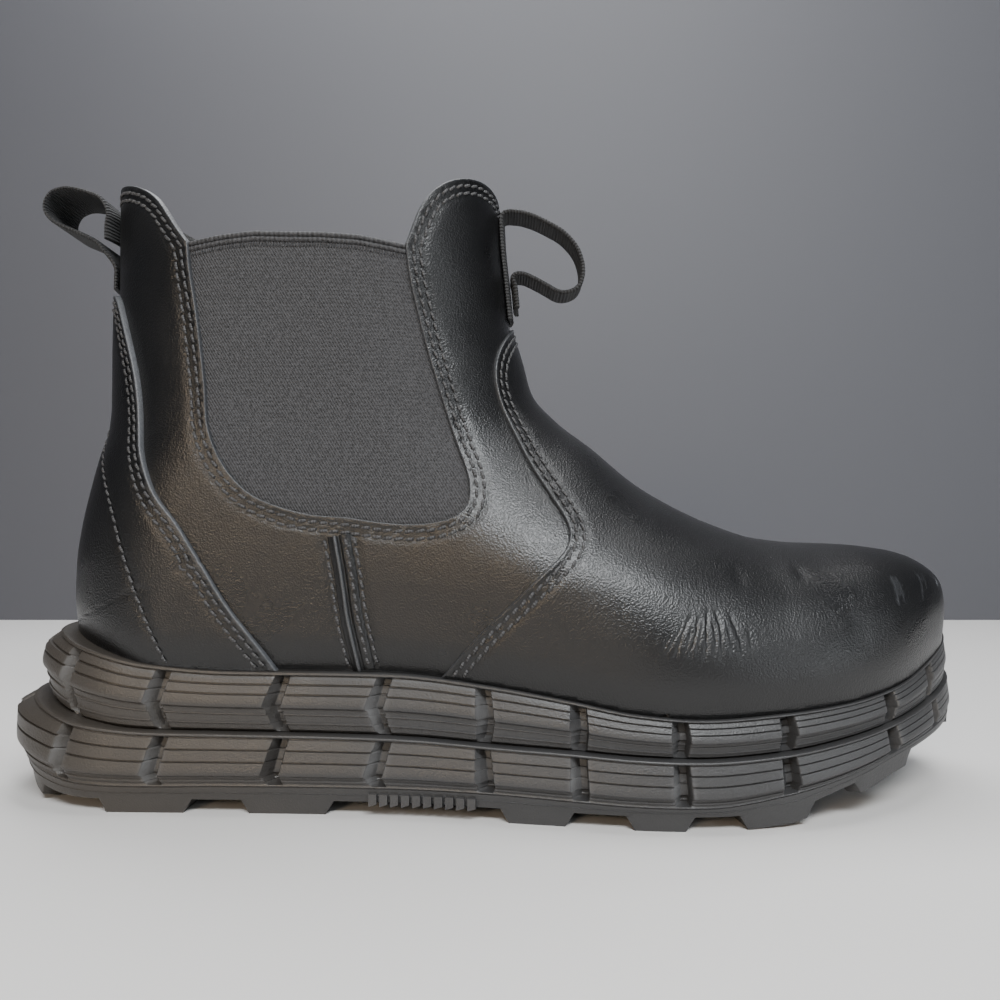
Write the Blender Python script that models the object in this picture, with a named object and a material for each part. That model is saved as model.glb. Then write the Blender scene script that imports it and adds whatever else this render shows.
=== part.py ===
# Side gore work boot for the right foot: hollow leather upper on a two tier rubber sole.
import math

import bpy
import numpy as np
from mathutils import Vector
from mathutils.geometry import delaunay_2d_cdt

# Main sizes in metres
SOLE_LENGTH = 0.2985
BALL_WIDTH = 0.108
HEEL_HEIGHT = 0.040
BOOT_HEIGHT = 0.190
TOE_SWING = 0.010
GAP = 0.0003

# Ends of the sole outline, as shares of the sole length
TOE_ROUND = 0.33
HEEL_ROUND = 0.135
TOE_POWER = 2.3

# Sole tiers
TIER_INSET = 0.0022
TIER_HEEL_INSET = 0.0070
TIER_TOE_INSET = 0.0008
RIB_DEPTH = 0.0025
NOTCH_DEPTH = 0.0042
NOTCH_HALF = 0.0025
NOTCH_FLOOR_HALF = 0.0013
NOTCH_LEAN = 0.0026
HEEL_NOTCH = 0.0145
TOE_NOTCH = 0.0145
TOE_BLOCK = 0.0260
LUG_DEPTH = 0.0038
LUG_SLOPE = 0.0024
LUG_REACH = 0.019

# Cup in the top of the midsole
RIM_WIDTH = 0.0062
CUP_SLOPE = 0.0028

# Upper
UPPER_INSET = 0.0042
UPPER_HEEL_X = 0.0188
UPPER_TOE_INSET = 0.0030
FEATHER_TOE_INSET = 0.0025
WALL = 0.0019
VAMP_STEP = 0.0012
FEATHER_TUCK = 0.0022
TUCK_HEIGHT = 0.011
COUNTER_THICK = 0.0015
STRIP_THICK = 0.0009
GORE_THICK = 0.0013
GORE_MARGIN = 0.007

# Insole
INSOLE_THICK = 0.0030

# Webbing of the pull loops
WEB_THICK = 0.0013
REAR_WEB_WIDTH = 0.021
FRONT_WEB_WIDTH = 0.012
WEB_SAG = 0.0018
FRONT_SAG = 0.0008

# Ends of the tapes and of the loops sewn to them, as shares of the boot height
FRONT_TAPE = (0.776, 0.947)
FRONT_END = (0.838, 0.795)
REAR_TAPE = (0.821, 0.858)
REAR_END = (0.947, 0.903)

# Sole widths: share of the length from the heel, outer half and inner half as shares of the ball width
WIDTH_ROWS = (
    (0.000, 0.355, 0.345),
    (0.135, 0.368, 0.352),
    (0.300, 0.378, 0.335),
    (0.420, 0.400, 0.318),
    (0.540, 0.458, 0.365),
    (0.670, 0.505, 0.468),
    (0.780, 0.500, 0.490),
    (1.000, 0.500, 0.490),
)

# Sole heights: share of the length, then ground, band, tier line, foot bed and top as shares of the heel height
HEIGHT_ROWS = (
    (0.000, 0.120, 0.320, 0.820, 1.000, 1.300),
    (0.050, 0.020, 0.262, 0.740, 0.980, 1.270),
    (0.110, 0.000, 0.200, 0.630, 0.960, 1.150),
    (0.170, 0.000, 0.188, 0.582, 0.950, 1.045),
    (0.250, 0.000, 0.195, 0.570, 0.945, 0.998),
    (0.400, 0.000, 0.195, 0.556, 0.930, 0.988),
    (0.500, 0.000, 0.195, 0.525, 0.862, 0.920),
    (0.570, 0.000, 0.178, 0.505, 0.790, 0.840),
    (0.630, 0.000, 0.163, 0.482, 0.712, 0.762),
    (0.690, 0.000, 0.160, 0.472, 0.672, 0.730),
    (0.760, 0.020, 0.220, 0.498, 0.680, 0.755),
    (0.830, 0.145, 0.325, 0.565, 0.715, 0.800),
    (0.890, 0.300, 0.452, 0.655, 0.770, 0.885),
    (0.950, 0.410, 0.555, 0.780, 0.850, 1.065),
    (1.000, 0.490, 0.630, 0.880, 0.930, 1.205),
)

# Notches of the sides as shares of the length from the heel
NOTCH_SHARES = (0.093, 0.188, 0.302, 0.399, 0.490, 0.577, 0.668, 0.768, 0.879)

# Lean of the notches toward the toe at the widest line of a tier, by share of the length
LEAN_ROWS = (
    (0.00, -1.00),
    (0.40, -0.95),
    (0.48, 0.60),
    (0.52, 0.60),
    (0.60, 0.30),
    (0.75, 0.20),
    (1.00, 0.15),
)

# Side of the upper tier: share down, outset in rib depths, one where notches cut it, share of the lean
UPPER_TIER_ROWS = (
    (0.00, -1.00, 0, 0.0),
    (0.06, -0.60, 0, 0.0),
    (0.10, -0.78, 1, 0.1),
    (0.34, -0.30, 1, 0.6),
    (0.38, -0.46, 1, 0.7),
    (0.57, 0.00, 1, 1.0),
    (0.64, -0.50, 1, 0.9),
    (0.93, -0.76, 1, 0.3),
    (1.00, -0.90, 0, 0.0),
)

# Side of the lower tier in the same way
LOWER_TIER_ROWS = (
    (0.00, -1.00, 0, 0.0),
    (0.05, -0.66, 0, 0.0),
    (0.10, -0.80, 1, 0.1),
    (0.48, -0.26, 1, 0.7),
    (0.52, -0.42, 1, 0.8),
    (0.74, 0.00, 1, 1.0),
    (0.81, -0.46, 1, 0.9),
    (0.94, -0.76, 1, 0.6),
    (1.00, -0.80, 0, 0.0),
)

# How round the side of a tier is, by share of the length
BULGE_ROWS = (
    (0.00, 1.15),
    (0.06, 1.15),
    (0.16, 1.05),
    (0.30, 1.00),
    (0.80, 1.00),
    (0.90, 0.60),
    (0.96, 0.30),
    (1.00, 0.20),
)

# Top line of the upper from toe to front tab: share of the length, share of the height, shoulder by ball width
FRONT_ROWS = (
    (0.9810, 0.2580, 0.070),
    (0.9885, 0.2800, 0.080),
    (0.9870, 0.3060, 0.095),
    (0.9780, 0.3340, 0.120),
    (0.9620, 0.3570, 0.165),
    (0.9400, 0.3760, 0.215),
    (0.9100, 0.3890, 0.255),
    (0.8720, 0.3940, 0.290),
    (0.8300, 0.3930, 0.330),
    (0.7820, 0.4000, 0.370),
    (0.7350, 0.4230, 0.400),
    (0.7060, 0.4425, 0.415),
    (0.6520, 0.4905, 0.430),
    (0.6020, 0.5555, 0.440),
    (0.5660, 0.5985, 0.450),
    (0.5385, 0.6480, 0.460),
    (0.5285, 0.7030, 0.475),
    (0.5180, 0.7620, 0.490),
    (0.5125, 0.8400, 0.500),
    (0.5085, 0.9000, 0.505),
    (0.5055, 1.0100, 0.510),
)

# Back line of the upper from the heel up: share of the length, share of the height
BACK_ROWS = (
    (0.0640, 0.268),
    (0.0625, 0.310),
    (0.0635, 0.365),
    (0.0690, 0.425),
    (0.0770, 0.480),
    (0.0860, 0.535),
    (0.0950, 0.580),
    (0.0975, 0.620),
    (0.0975, 0.700),
    (0.0985, 0.800),
    (0.0995, 0.900),
    (0.1005, 1.010),
)

# Shaft: share of the height, outer half, inner half and back roundness as shares of the ball width
SHAFT_ROWS = (
    (0.30, 0.335, 0.325, 0.345),
    (0.45, 0.325, 0.315, 0.350),
    (0.60, 0.320, 0.312, 0.400),
    (0.75, 0.330, 0.322, 0.470),
    (0.90, 0.345, 0.337, 0.500),
    (1.02, 0.350, 0.342, 0.500),
)

# Where the foot shape gives way to the shaft shape, as shares of the height
BLEND_LOW = 0.33
BLEND_HIGH = 0.62

# Share of the top line at which the section lines leave the heel, and the start of their feet
HEEL_TURN = 0.66
FAN_START = 0.655
FAN_POWER = 1.30


# Outlines on the skin of one side: share around (mirrored for the inner side) and share along
COLLAR_ROWS = (
    (-1.000, 0.984),
    (-0.924, 0.986),
    (-0.834, 0.978),
    (-0.784, 0.969),
    (-0.753, 0.960),
    (-0.727, 0.945),
    (-0.701, 0.929),
    (-0.686, 0.921),
    (-0.622, 0.921),
    (-0.558, 0.920),
    (-0.440, 0.912),
    (-0.371, 0.906),
    (-0.286, 0.894),
    (-0.278, 0.901),
    (-0.266, 0.920),
    (-0.245, 0.943),
    (-0.213, 0.961),
    (-0.167, 0.974),
    (-0.112, 0.980),
    (-0.055, 0.977),
    (0.000, 0.969),
)
GORE_TOP_BACK = 7
GORE_TOP_FRONT = 12

GORE_ROWS = (
    (-0.686, 0.921),
    (-0.683, 0.899),
    (-0.675, 0.879),
    (-0.667, 0.853),
    (-0.660, 0.826),
    (-0.650, 0.798),
    (-0.638, 0.774),
    (-0.617, 0.750),
    (-0.595, 0.730),
    (-0.570, 0.711),
    (-0.545, 0.694),
    (-0.500, 0.672),
    (-0.474, 0.649),
    (-0.464, 0.627),
    (-0.458, 0.603),
    (-0.444, 0.584),
    (-0.424, 0.571),
    (-0.388, 0.564),
    (-0.348, 0.571),
    (-0.312, 0.593),
    (-0.277, 0.619),
    (-0.251, 0.646),
    (-0.230, 0.689),
    (-0.234, 0.727),
    (-0.250, 0.774),
    (-0.268, 0.822),
    (-0.281, 0.860),
    (-0.286, 0.894),
)

VAMP_ROWS = (
    (0.000, 0.802),
    (-0.018, 0.797),
    (-0.055, 0.789),
    (-0.106, 0.767),
    (-0.131, 0.739),
    (-0.133, 0.704),
    (-0.145, 0.660),
    (-0.198, 0.599),
    (-0.225, 0.569),
    (-0.259, 0.534),
    (-0.293, 0.502),
    (-0.331, 0.479),
    (-0.380, 0.460),
    (-0.447, 0.444),
    (-0.587, 0.411),
    (-0.760, 0.373),
    (-1.000, 0.322),
)

COUNTER_ROWS = (
    (-1.000, 0.907),
    (-0.928, 0.907),
    (-0.882, 0.899),
    (-0.846, 0.875),
    (-0.818, 0.850),
    (-0.798, 0.826),
    (-0.775, 0.791),
    (-0.753, 0.768),
    (-0.729, 0.747),
    (-0.705, 0.726),
    (-0.685, 0.712),
    (-0.670, 0.701),
    (-0.661, 0.691),
    (-0.653, 0.679),
    (-0.646, 0.669),
    (-0.644, 0.659),
    (-0.674, 0.633),
    (-0.701, 0.612),
    (-0.728, 0.591),
    (-0.755, 0.570),
    (-0.783, 0.549),
    (-0.824, 0.519),
    (-0.877, 0.486),
    (-0.937, 0.456),
    (-1.000, 0.430),
)

STRIP_BACK_ROWS = (
    (-0.525, 0.603),
    (-0.634, 0.537),
    (-0.742, 0.480),
    (-0.855, 0.432),
    (-0.975, 0.389),
)
STRIP_FRONT_ROWS = (
    (-0.975, 0.376),
    (-0.849, 0.420),
    (-0.720, 0.472),
    (-0.600, 0.531),
    (-0.509, 0.587),
)

# Loops in side view: share of the length, share of the height of the middle of the webbing
FRONT_LOOP_ROWS = (
    (0.5230, 0.9580),
    (0.5320, 0.9560),
    (0.5455, 0.9490),
    (0.5602, 0.9375),
    (0.5720, 0.9270),
    (0.5815, 0.9140),
    (0.5900, 0.8965),
    (0.5950, 0.8760),
    (0.5965, 0.8560),
    (0.5940, 0.8385),
    (0.5880, 0.8270),
    (0.5771, 0.8215),
    (0.5680, 0.8240),
    (0.5580, 0.8330),
    (0.5440, 0.8450),
    (0.5330, 0.8525),
    (0.5250, 0.8530),
    (0.5205, 0.8480),
)
REAR_LOOP_ROWS = (
    (0.0880, 0.8850),
    (0.0800, 0.8990),
    (0.0610, 0.9140),
    (0.0380, 0.9300),
    (0.0270, 0.9470),
    (0.0260, 0.9640),
    (0.0330, 0.9810),
    (0.0480, 0.9880),
    (0.0660, 0.9830),
    (0.0850, 0.9700),
)


def curve(rows, column, share):
    """Smooth curve through one column of a table, without overshoot."""
    xs = np.array([row[0] for row in rows])
    ys = np.array([row[column] for row in rows])
    share = np.clip(np.asarray(share, dtype=float), xs[0], xs[-1])
    step = np.diff(xs)
    slope = np.diff(ys) / step
    tangent = np.zeros(len(xs))
    tangent[0] = slope[0]
    tangent[-1] = slope[-1]
    for i in range(1, len(xs) - 1):
        if slope[i - 1] * slope[i] > 0.0:
            a = 2.0 * step[i] + step[i - 1]
            b = step[i] + 2.0 * step[i - 1]
            tangent[i] = (a + b) / (a / slope[i - 1] + b / slope[i])
    k = np.clip(np.searchsorted(xs, share, side="right") - 1, 0, len(xs) - 2)
    h = step[k]
    p = (share - xs[k]) / h
    h00 = (1.0 + 2.0 * p) * (1.0 - p) ** 2
    h10 = p * (1.0 - p) ** 2
    h01 = p * p * (3.0 - 2.0 * p)
    h11 = p * p * (p - 1.0)
    return h00 * ys[k] + h10 * h * tangent[k] + h01 * ys[k + 1] + h11 * h * tangent[k + 1]


def share_of(x):
    """Share of the sole length at a place along it."""
    return np.asarray(x) / SOLE_LENGTH + 0.5


def place_of(share):
    """Place along the sole at a share of its length."""
    return (np.asarray(share) - 0.5) * SOLE_LENGTH


def swing(x):
    """Sideways swing of the centre line toward the inner side at the toe."""
    ahead = np.clip((share_of(x) - (1.0 - TOE_ROUND)) / TOE_ROUND, 0.0, 1.2)
    return TOE_SWING * ahead ** 2


def height(column, x):
    """Height of one line of the sole at a place along it."""
    return HEEL_HEIGHT * curve(HEIGHT_ROWS, column, share_of(x))


def ground(x):
    return height(1, x)


def band(x):
    return height(2, x)


def tier_line(x):
    return height(3, x)


def foot_bed(x):
    return height(4, x)


def sole_top(x):
    return height(5, x)


def sole_outline(heel_inset, toe_inset, side_inset, count=1600):
    """Closed plan outline from the heel along the outer side, round the toe and back."""
    heel = -0.5 * SOLE_LENGTH + heel_inset
    toe = 0.5 * SOLE_LENGTH - toe_inset
    turn = np.linspace(0.0, math.pi, count)
    x = 0.5 * (heel + toe) - 0.5 * (toe - heel) * np.cos(turn)
    share = share_of(x)
    toe_reach = TOE_ROUND * SOLE_LENGTH - toe_inset
    heel_reach = HEEL_ROUND * SOLE_LENGTH - heel_inset * 0.3
    toe_part = 1.0 - np.clip(1.0 - (toe - x) / toe_reach, 0.0, 1.0) ** TOE_POWER
    heel_part = 1.0 - np.clip(1.0 - (x - heel) / heel_reach, 0.0, 1.0) ** 2
    round_off = np.sqrt(np.clip(toe_part * heel_part, 0.0, 1.0))
    outer = BALL_WIDTH * curve(WIDTH_ROWS, 1, share) - side_inset
    inner = BALL_WIDTH * curve(WIDTH_ROWS, 2, share) - side_inset
    near = np.stack([x, swing(x) - outer * round_off], axis=1)
    far = np.stack([x, swing(x) + inner * round_off], axis=1)
    return np.vstack([near, far[::-1][1:-1]])


class Outline:
    """Closed plan curve read by share of its own length."""

    def __init__(self, points):
        loop = np.vstack([points, points[:1]])
        steps = np.hypot(*np.diff(loop, axis=0).T)
        self.along = np.concatenate([[0.0], np.cumsum(steps)])
        self.length = self.along[-1]
        self.loop = loop

    def at(self, share):
        """Point of the curve at a share of its length."""
        where = np.mod(share, 1.0) * self.length
        x = np.interp(where, self.along, self.loop[:, 0])
        y = np.interp(where, self.along, self.loop[:, 1])
        return np.stack([x, y], axis=-1)

    def outward(self, share):
        """Outward direction of the curve at a share of its length."""
        step = 0.0025
        ahead = self.at(np.asarray(share) + step) - self.at(np.asarray(share) - step)
        ahead = ahead / np.hypot(ahead[..., 0], ahead[..., 1])[..., None]
        return np.stack([ahead[..., 1], -ahead[..., 0]], axis=-1)


def share_at_place(outline, share, outer):
    """Outline share of the point at a place along the sole, on the outer or the inner side."""
    tip = int(np.argmax(outline.loop[:, 0]))
    x = place_of(share)
    if outer:
        return float(np.interp(x, outline.loop[:tip, 0], outline.along[:tip])) / outline.length
    back = outline.loop[tip:, 0][::-1]
    along = outline.along[tip:][::-1]
    return float(np.interp(x, back, along)) / outline.length


def notch_centres(outline):
    """Outline shares of the notch middles, from the heel along the outer side and back."""
    toe = share_at_place(outline, 1.0, True)
    centres = [HEEL_NOTCH / outline.length, 1.0 - HEEL_NOTCH / outline.length]
    for reach in (TOE_NOTCH, TOE_NOTCH + TOE_BLOCK):
        centres.extend([toe - reach / outline.length, toe + reach / outline.length])
    for share in NOTCH_SHARES:
        centres.extend([share_at_place(outline, share, True), share_at_place(outline, share, False)])
    return sorted(centres)


def tier_columns(outline):
    """Column shares round a tier, each with its notch mark: 0 block, 1 block edge, 2 notch floor."""
    columns = []
    centres = notch_centres(outline)
    for k, centre in enumerate(centres):
        columns.append((centre - NOTCH_HALF / outline.length, 1))
        columns.append((centre - NOTCH_FLOOR_HALF / outline.length, 2))
        columns.append((centre + NOTCH_FLOOR_HALF / outline.length, 2))
        columns.append((centre + NOTCH_HALF / outline.length, 1))
        pitch = (centres[k + 1] if k + 1 < len(centres) else centres[0] + 1.0) - centre
        x = float(outline.at(centre + 0.5 * pitch)[0])
        bends = 2 if (share_of(x) < 0.19 or share_of(x) > 0.76) else 1
        for i in range(bends):
            columns.append((centre + pitch * (i + 1) / (bends + 1), 0))
    return columns


def tier_rings(outline, columns, rows, low, high):
    """Rings of points of one tier from its top edge down, between two height functions."""
    shares = np.array([c[0] for c in columns])
    marks = np.array([c[1] for c in columns])
    x = outline.at(shares)[:, 0]
    forward = -outline.outward(shares)[:, 1]
    lean = NOTCH_LEAN / outline.length * curve(LEAN_ROWS, 1, share_of(x)) * forward
    rings = []
    for down, outset, cut, slant in rows:
        base = outline.at(shares + lean * slant)
        out = outline.outward(shares + lean * slant)
        bulge = curve(BULGE_ROWS, 1, share_of(base[:, 0]))
        surface = outset * RIB_DEPTH * bulge
        floor = 0.5 * surface - NOTCH_DEPTH
        shift = np.where((marks == 2) & (cut == 1), floor, surface)
        plan = base + out * shift[:, None]
        top = high(plan[:, 0])
        z = top + (low(plan[:, 0]) - top) * down
        rings.append(np.column_stack([plan, z]))
    return rings


class Solid:
    """Vertex and face lists of one closed piece."""

    def __init__(self):
        self.verts = []
        self.faces = []

    def add(self, points):
        """Add points and return their numbers."""
        start = len(self.verts)
        self.verts.extend([tuple(float(c) for c in p) for p in points])
        return list(range(start, len(self.verts)))

    def band_between(self, upper, lower):
        """Faces between two rings with the same number of points, upper ring first."""
        count = len(upper)
        for i in range(count):
            j = (i + 1) % count
            self.faces.append((lower[i], lower[j], upper[j]))
            self.faces.append((lower[i], upper[j], upper[i]))

    def zip_between(self, upper, upper_share, lower, lower_share):
        """Faces between two rings with different points, matched by share."""
        i = 0
        j = 0
        n = len(upper)
        m = len(lower)
        while i < n or j < m:
            next_upper = upper_share[(i + 1) % n] + (1.0 if i + 1 >= n else 0.0)
            next_lower = lower_share[(j + 1) % m] + (1.0 if j + 1 >= m else 0.0)
            if j >= m or (i < n and next_upper <= next_lower):
                self.faces.append((lower[j % m], upper[(i + 1) % n], upper[i % n]))
                i += 1
            else:
                self.faces.append((lower[j % m], lower[(j + 1) % m], upper[i % n]))
                j += 1

    def cap(self, numbers, loops, up):
        """Close a ring, with further loops of numbers as fixed lines inside it."""
        index = list(numbers)
        for loop, _ in loops:
            index.extend(loop)
        seen = {}
        order = []
        for number in index:
            if number not in seen:
                seen[number] = len(order)
                order.append(number)
        coords = [Vector((self.verts[n][0] * 1000.0, self.verts[n][1] * 1000.0)) for n in order]
        edges = []
        for loop, closed in [(list(numbers), True)] + list(loops):
            last = len(loop) if closed else len(loop) - 1
            for k in range(last):
                edges.append((seen[loop[k]], seen[loop[(k + 1) % len(loop)]]))
        face = [seen[n] for n in numbers]
        result = delaunay_2d_cdt(coords, edges, [face], 1, 1e-5)
        places, triangles, origin = result[0], result[2], result[3]
        for tri in triangles:
            corners = [order[origin[v][0]] for v in tri]
            a, b, c = (places[v] for v in tri)
            turn = (b.x - a.x) * (c.y - a.y) - (b.y - a.y) * (c.x - a.x)
            if (turn > 0.0) != up:
                corners.reverse()
            self.faces.append(tuple(corners))


def make_object(name, solid, material, smooth_angle=35.0):
    """Turn a solid into an object with smooth shading between soft edges."""
    mesh = bpy.data.meshes.new(name)
    mesh.from_pydata(solid.verts, [], solid.faces)
    mesh.validate()
    mesh.materials.append(material)
    mesh.shade_smooth()
    mesh.set_sharp_from_angle(angle=math.radians(smooth_angle))
    item = bpy.data.objects.new(name, mesh)
    bpy.context.scene.collection.objects.link(item)
    return item


def material(name, colour, roughness):
    """Principled material with a plain colour."""
    item = bpy.data.materials.new(name)
    item.use_nodes = True
    shader = item.node_tree.nodes["Principled BSDF"]
    shader.inputs["Base Color"].default_value = (*colour, 1.0)
    shader.inputs["Roughness"].default_value = roughness
    return item


# Tread: start and end of each edge lug along the sole as shares of its length
EDGE_LUGS = (
    (0.125, 0.215),
    (0.262, 0.350),
    (0.505, 0.572),
    (0.618, 0.680),
    (0.722, 0.795),
    (0.838, 0.905),
)

# Middle lugs: share of the length, half length and half width by ball width, sideways share
MIDDLE_LUGS = (
    (0.115, 0.045, 0.110, 0.0),
    (0.235, 0.050, 0.110, 0.0),
    (0.335, 0.045, 0.095, 0.0),
    (0.530, 0.045, 0.090, 0.03),
    (0.610, 0.055, 0.130, 0.03),
    (0.700, 0.055, 0.150, 0.03),
    (0.790, 0.055, 0.140, 0.06),
    (0.872, 0.045, 0.110, 0.09),
)


def build_outsole(rubber):
    """Lower tier with the tread under it."""
    outline = Outline(sole_outline(0.0, 0.0, 0.0))
    columns = tier_columns(outline)
    rings = tier_rings(outline, columns, LOWER_TIER_ROWS, band, lambda x: tier_line(x) - 0.5 * GAP)
    solid = Solid()
    numbers = [solid.add(ring) for ring in rings]
    for upper, lower in zip(numbers, numbers[1:]):
        solid.band_between(upper, lower)
    solid.cap(numbers[0], [], True)

    stations = []
    for outer in (True, False):
        for start, end in EDGE_LUGS:
            a = share_at_place(outline, start, outer)
            b = share_at_place(outline, end, outer)
            a, b = min(a, b), max(a, b)
            slope = LUG_SLOPE / outline.length
            stations.extend([(a, 0), (a + slope, 1), (b - slope, 1), (b, 0)])
    slope = LUG_SLOPE / outline.length
    for a, b in ((0.018, 0.052), (0.948, 0.982)):
        stations.extend([(a, 0), (a + slope, 1), (b - slope, 1), (b, 0)])
    toe_share = share_at_place(outline, 1.0, True)
    for a, b in ((toe_share - 0.030, toe_share - 0.004), (toe_share + 0.004, toe_share + 0.030)):
        stations.extend([(a, 0), (a + slope, 1), (b - slope, 1), (b, 0)])
    stations.sort()
    filled = []
    for k, (share, mark) in enumerate(stations):
        filled.append((share, mark))
        following = stations[(k + 1) % len(stations)][0] + (1.0 if k + 1 == len(stations) else 0.0)
        extra = int((following - share) * outline.length / 0.013)
        following_mark = stations[(k + 1) % len(stations)][1]
        for i in range(extra):
            inside = 1 if (mark == 1 and following_mark == 1) else 0
            filled.append((share + (following - share) * (i + 1) / (extra + 1), inside))
    stations = sorted((s % 1.0, m) for s, m in filled)

    shares = np.array([s for s, _ in stations])
    marks = np.array([m for _, m in stations])
    base = outline.at(shares)
    bulge = curve(BULGE_ROWS, 1, share_of(base[:, 0]))
    plan = base + outline.outward(shares) * (-1.30 * RIB_DEPTH * bulge)[:, None]
    z = ground(base[:, 0]) + np.where(marks == 1, 0.0, LUG_DEPTH)
    tread = solid.add(np.column_stack([plan, z]))
    column_shares = np.mod(np.array([c[0] for c in columns]), 1.0)
    order = np.argsort(column_shares)
    last = [numbers[-1][k] for k in order]
    solid.zip_between(last, list(column_shares[order]), tread, list(shares))

    loops = []
    ring = Outline(plan)
    inward = outline.outward(shares) * -1.0
    k = 0
    count = len(stations)
    visited = 0
    while visited < count:
        if marks[k] == 0 and marks[(k + 1) % count] == 1:
            first = k
            k += 1
            visited += 1
            inside = []
            while marks[k % count] == 1:
                inside.append(k % count)
                k += 1
                visited += 1
            end = k % count
            reach = LUG_REACH if 0.1 < share_of(plan[inside[0]][0]) < 0.83 else 0.4 * LUG_REACH
            outer_pts = [plan[first] + inward[first] * reach, plan[end] + inward[end] * reach]
            mid = inside[len(inside) // 2]
            lows = [inside[0], inside[-1]]
            inner_pts = [plan[i] + inward[i] * (reach - LUG_SLOPE) for i in lows]
            a = solid.add([(*p, ground(p[0]) + LUG_DEPTH) for p in outer_pts])
            b = solid.add([(*p, ground(p[0])) for p in inner_pts])
            loops.append(([tread[first], a[0], a[1], tread[end]], False))
            loops.append(([tread[inside[0]], b[0], b[1], tread[inside[-1]]], False))
        else:
            k += 1
            visited += 1
        k %= count
    for share, half_long, half_wide, side in MIDDLE_LUGS:
        centre = (float(place_of(share)), side * BALL_WIDTH)
        for shrink, lift in ((0.0, LUG_DEPTH), (LUG_SLOPE, 0.0)):
            long = half_long * BALL_WIDTH - shrink
            wide = half_wide * BALL_WIDTH - shrink
            corners = [(-long, -wide), (long, -0.7 * wide), (long, 0.7 * wide), (-long, wide)]
            places = [(centre[0] + dx, centre[1] + dy) for dx, dy in corners]
            loops.append((solid.add([(x, y, ground(x) + lift) for x, y in places]), True))
    solid.cap(tread, loops, False)
    return make_object("outsole", solid, rubber)


def build_midsole(rubber):
    """Upper tier with a cup for the foot in its top."""
    outline = Outline(sole_outline(TIER_HEEL_INSET, TIER_TOE_INSET, TIER_INSET))
    columns = tier_columns(outline)
    rings = tier_rings(outline, columns, UPPER_TIER_ROWS, lambda x: tier_line(x) + 0.5 * GAP, sole_top)
    solid = Solid()
    numbers = [solid.add(ring) for ring in rings]
    for upper, lower in zip(numbers, numbers[1:]):
        solid.band_between(upper, lower)
    solid.cap(numbers[-1], [], False)
    loops = []
    for inset, use_bed in ((RIM_WIDTH, False), (RIM_WIDTH + CUP_SLOPE, True)):
        loops.append((solid.add(cup_ring(inset, use_bed)), True))
    solid.cap(numbers[0], loops, True)
    return make_object("midsole", solid, rubber)


def feather_outline(inset=0.0):
    """Plan outline of the bottom edge of the upper, moved inward by an inset."""
    heel = UPPER_HEEL_X + inset
    return Outline(sole_outline(heel, UPPER_TOE_INSET + FEATHER_TOE_INSET + inset, UPPER_INSET + FEATHER_TUCK + inset))


def cup_ring(inset, use_bed, count=64):
    """Ring of points of the cup at an inset from the feather line."""
    outline = feather_outline(inset)
    plan = outline.at((np.arange(count) + 0.5) / count)
    z = foot_bed(plan[:, 0]) if use_bed else sole_top(plan[:, 0])
    return np.column_stack([plan, z])


def ease(value):
    """Smooth step from zero to one."""
    value = np.clip(value, 0.0, 1.0)
    return value * value * (3.0 - 2.0 * value)


def side_line(rows, count=700):
    """Dense side view line through a table of shares, with its shares along and further columns."""
    places = np.array([(float(place_of(row[0])), BOOT_HEIGHT * row[1]) for row in rows])
    places[0, 1] = float(sole_top(places[0, 0])) + GAP
    chord = np.concatenate([[0.0], np.cumsum(np.hypot(*np.diff(places, axis=0).T))])
    table = [(c, p[0], p[1], *row[2:]) for c, p, row in zip(chord, places, rows)]
    along = np.linspace(0.0, chord[-1], count)
    columns = [curve(table, k, along) for k in range(1, len(table[0]))]
    return along / chord[-1], np.column_stack(columns)


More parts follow.
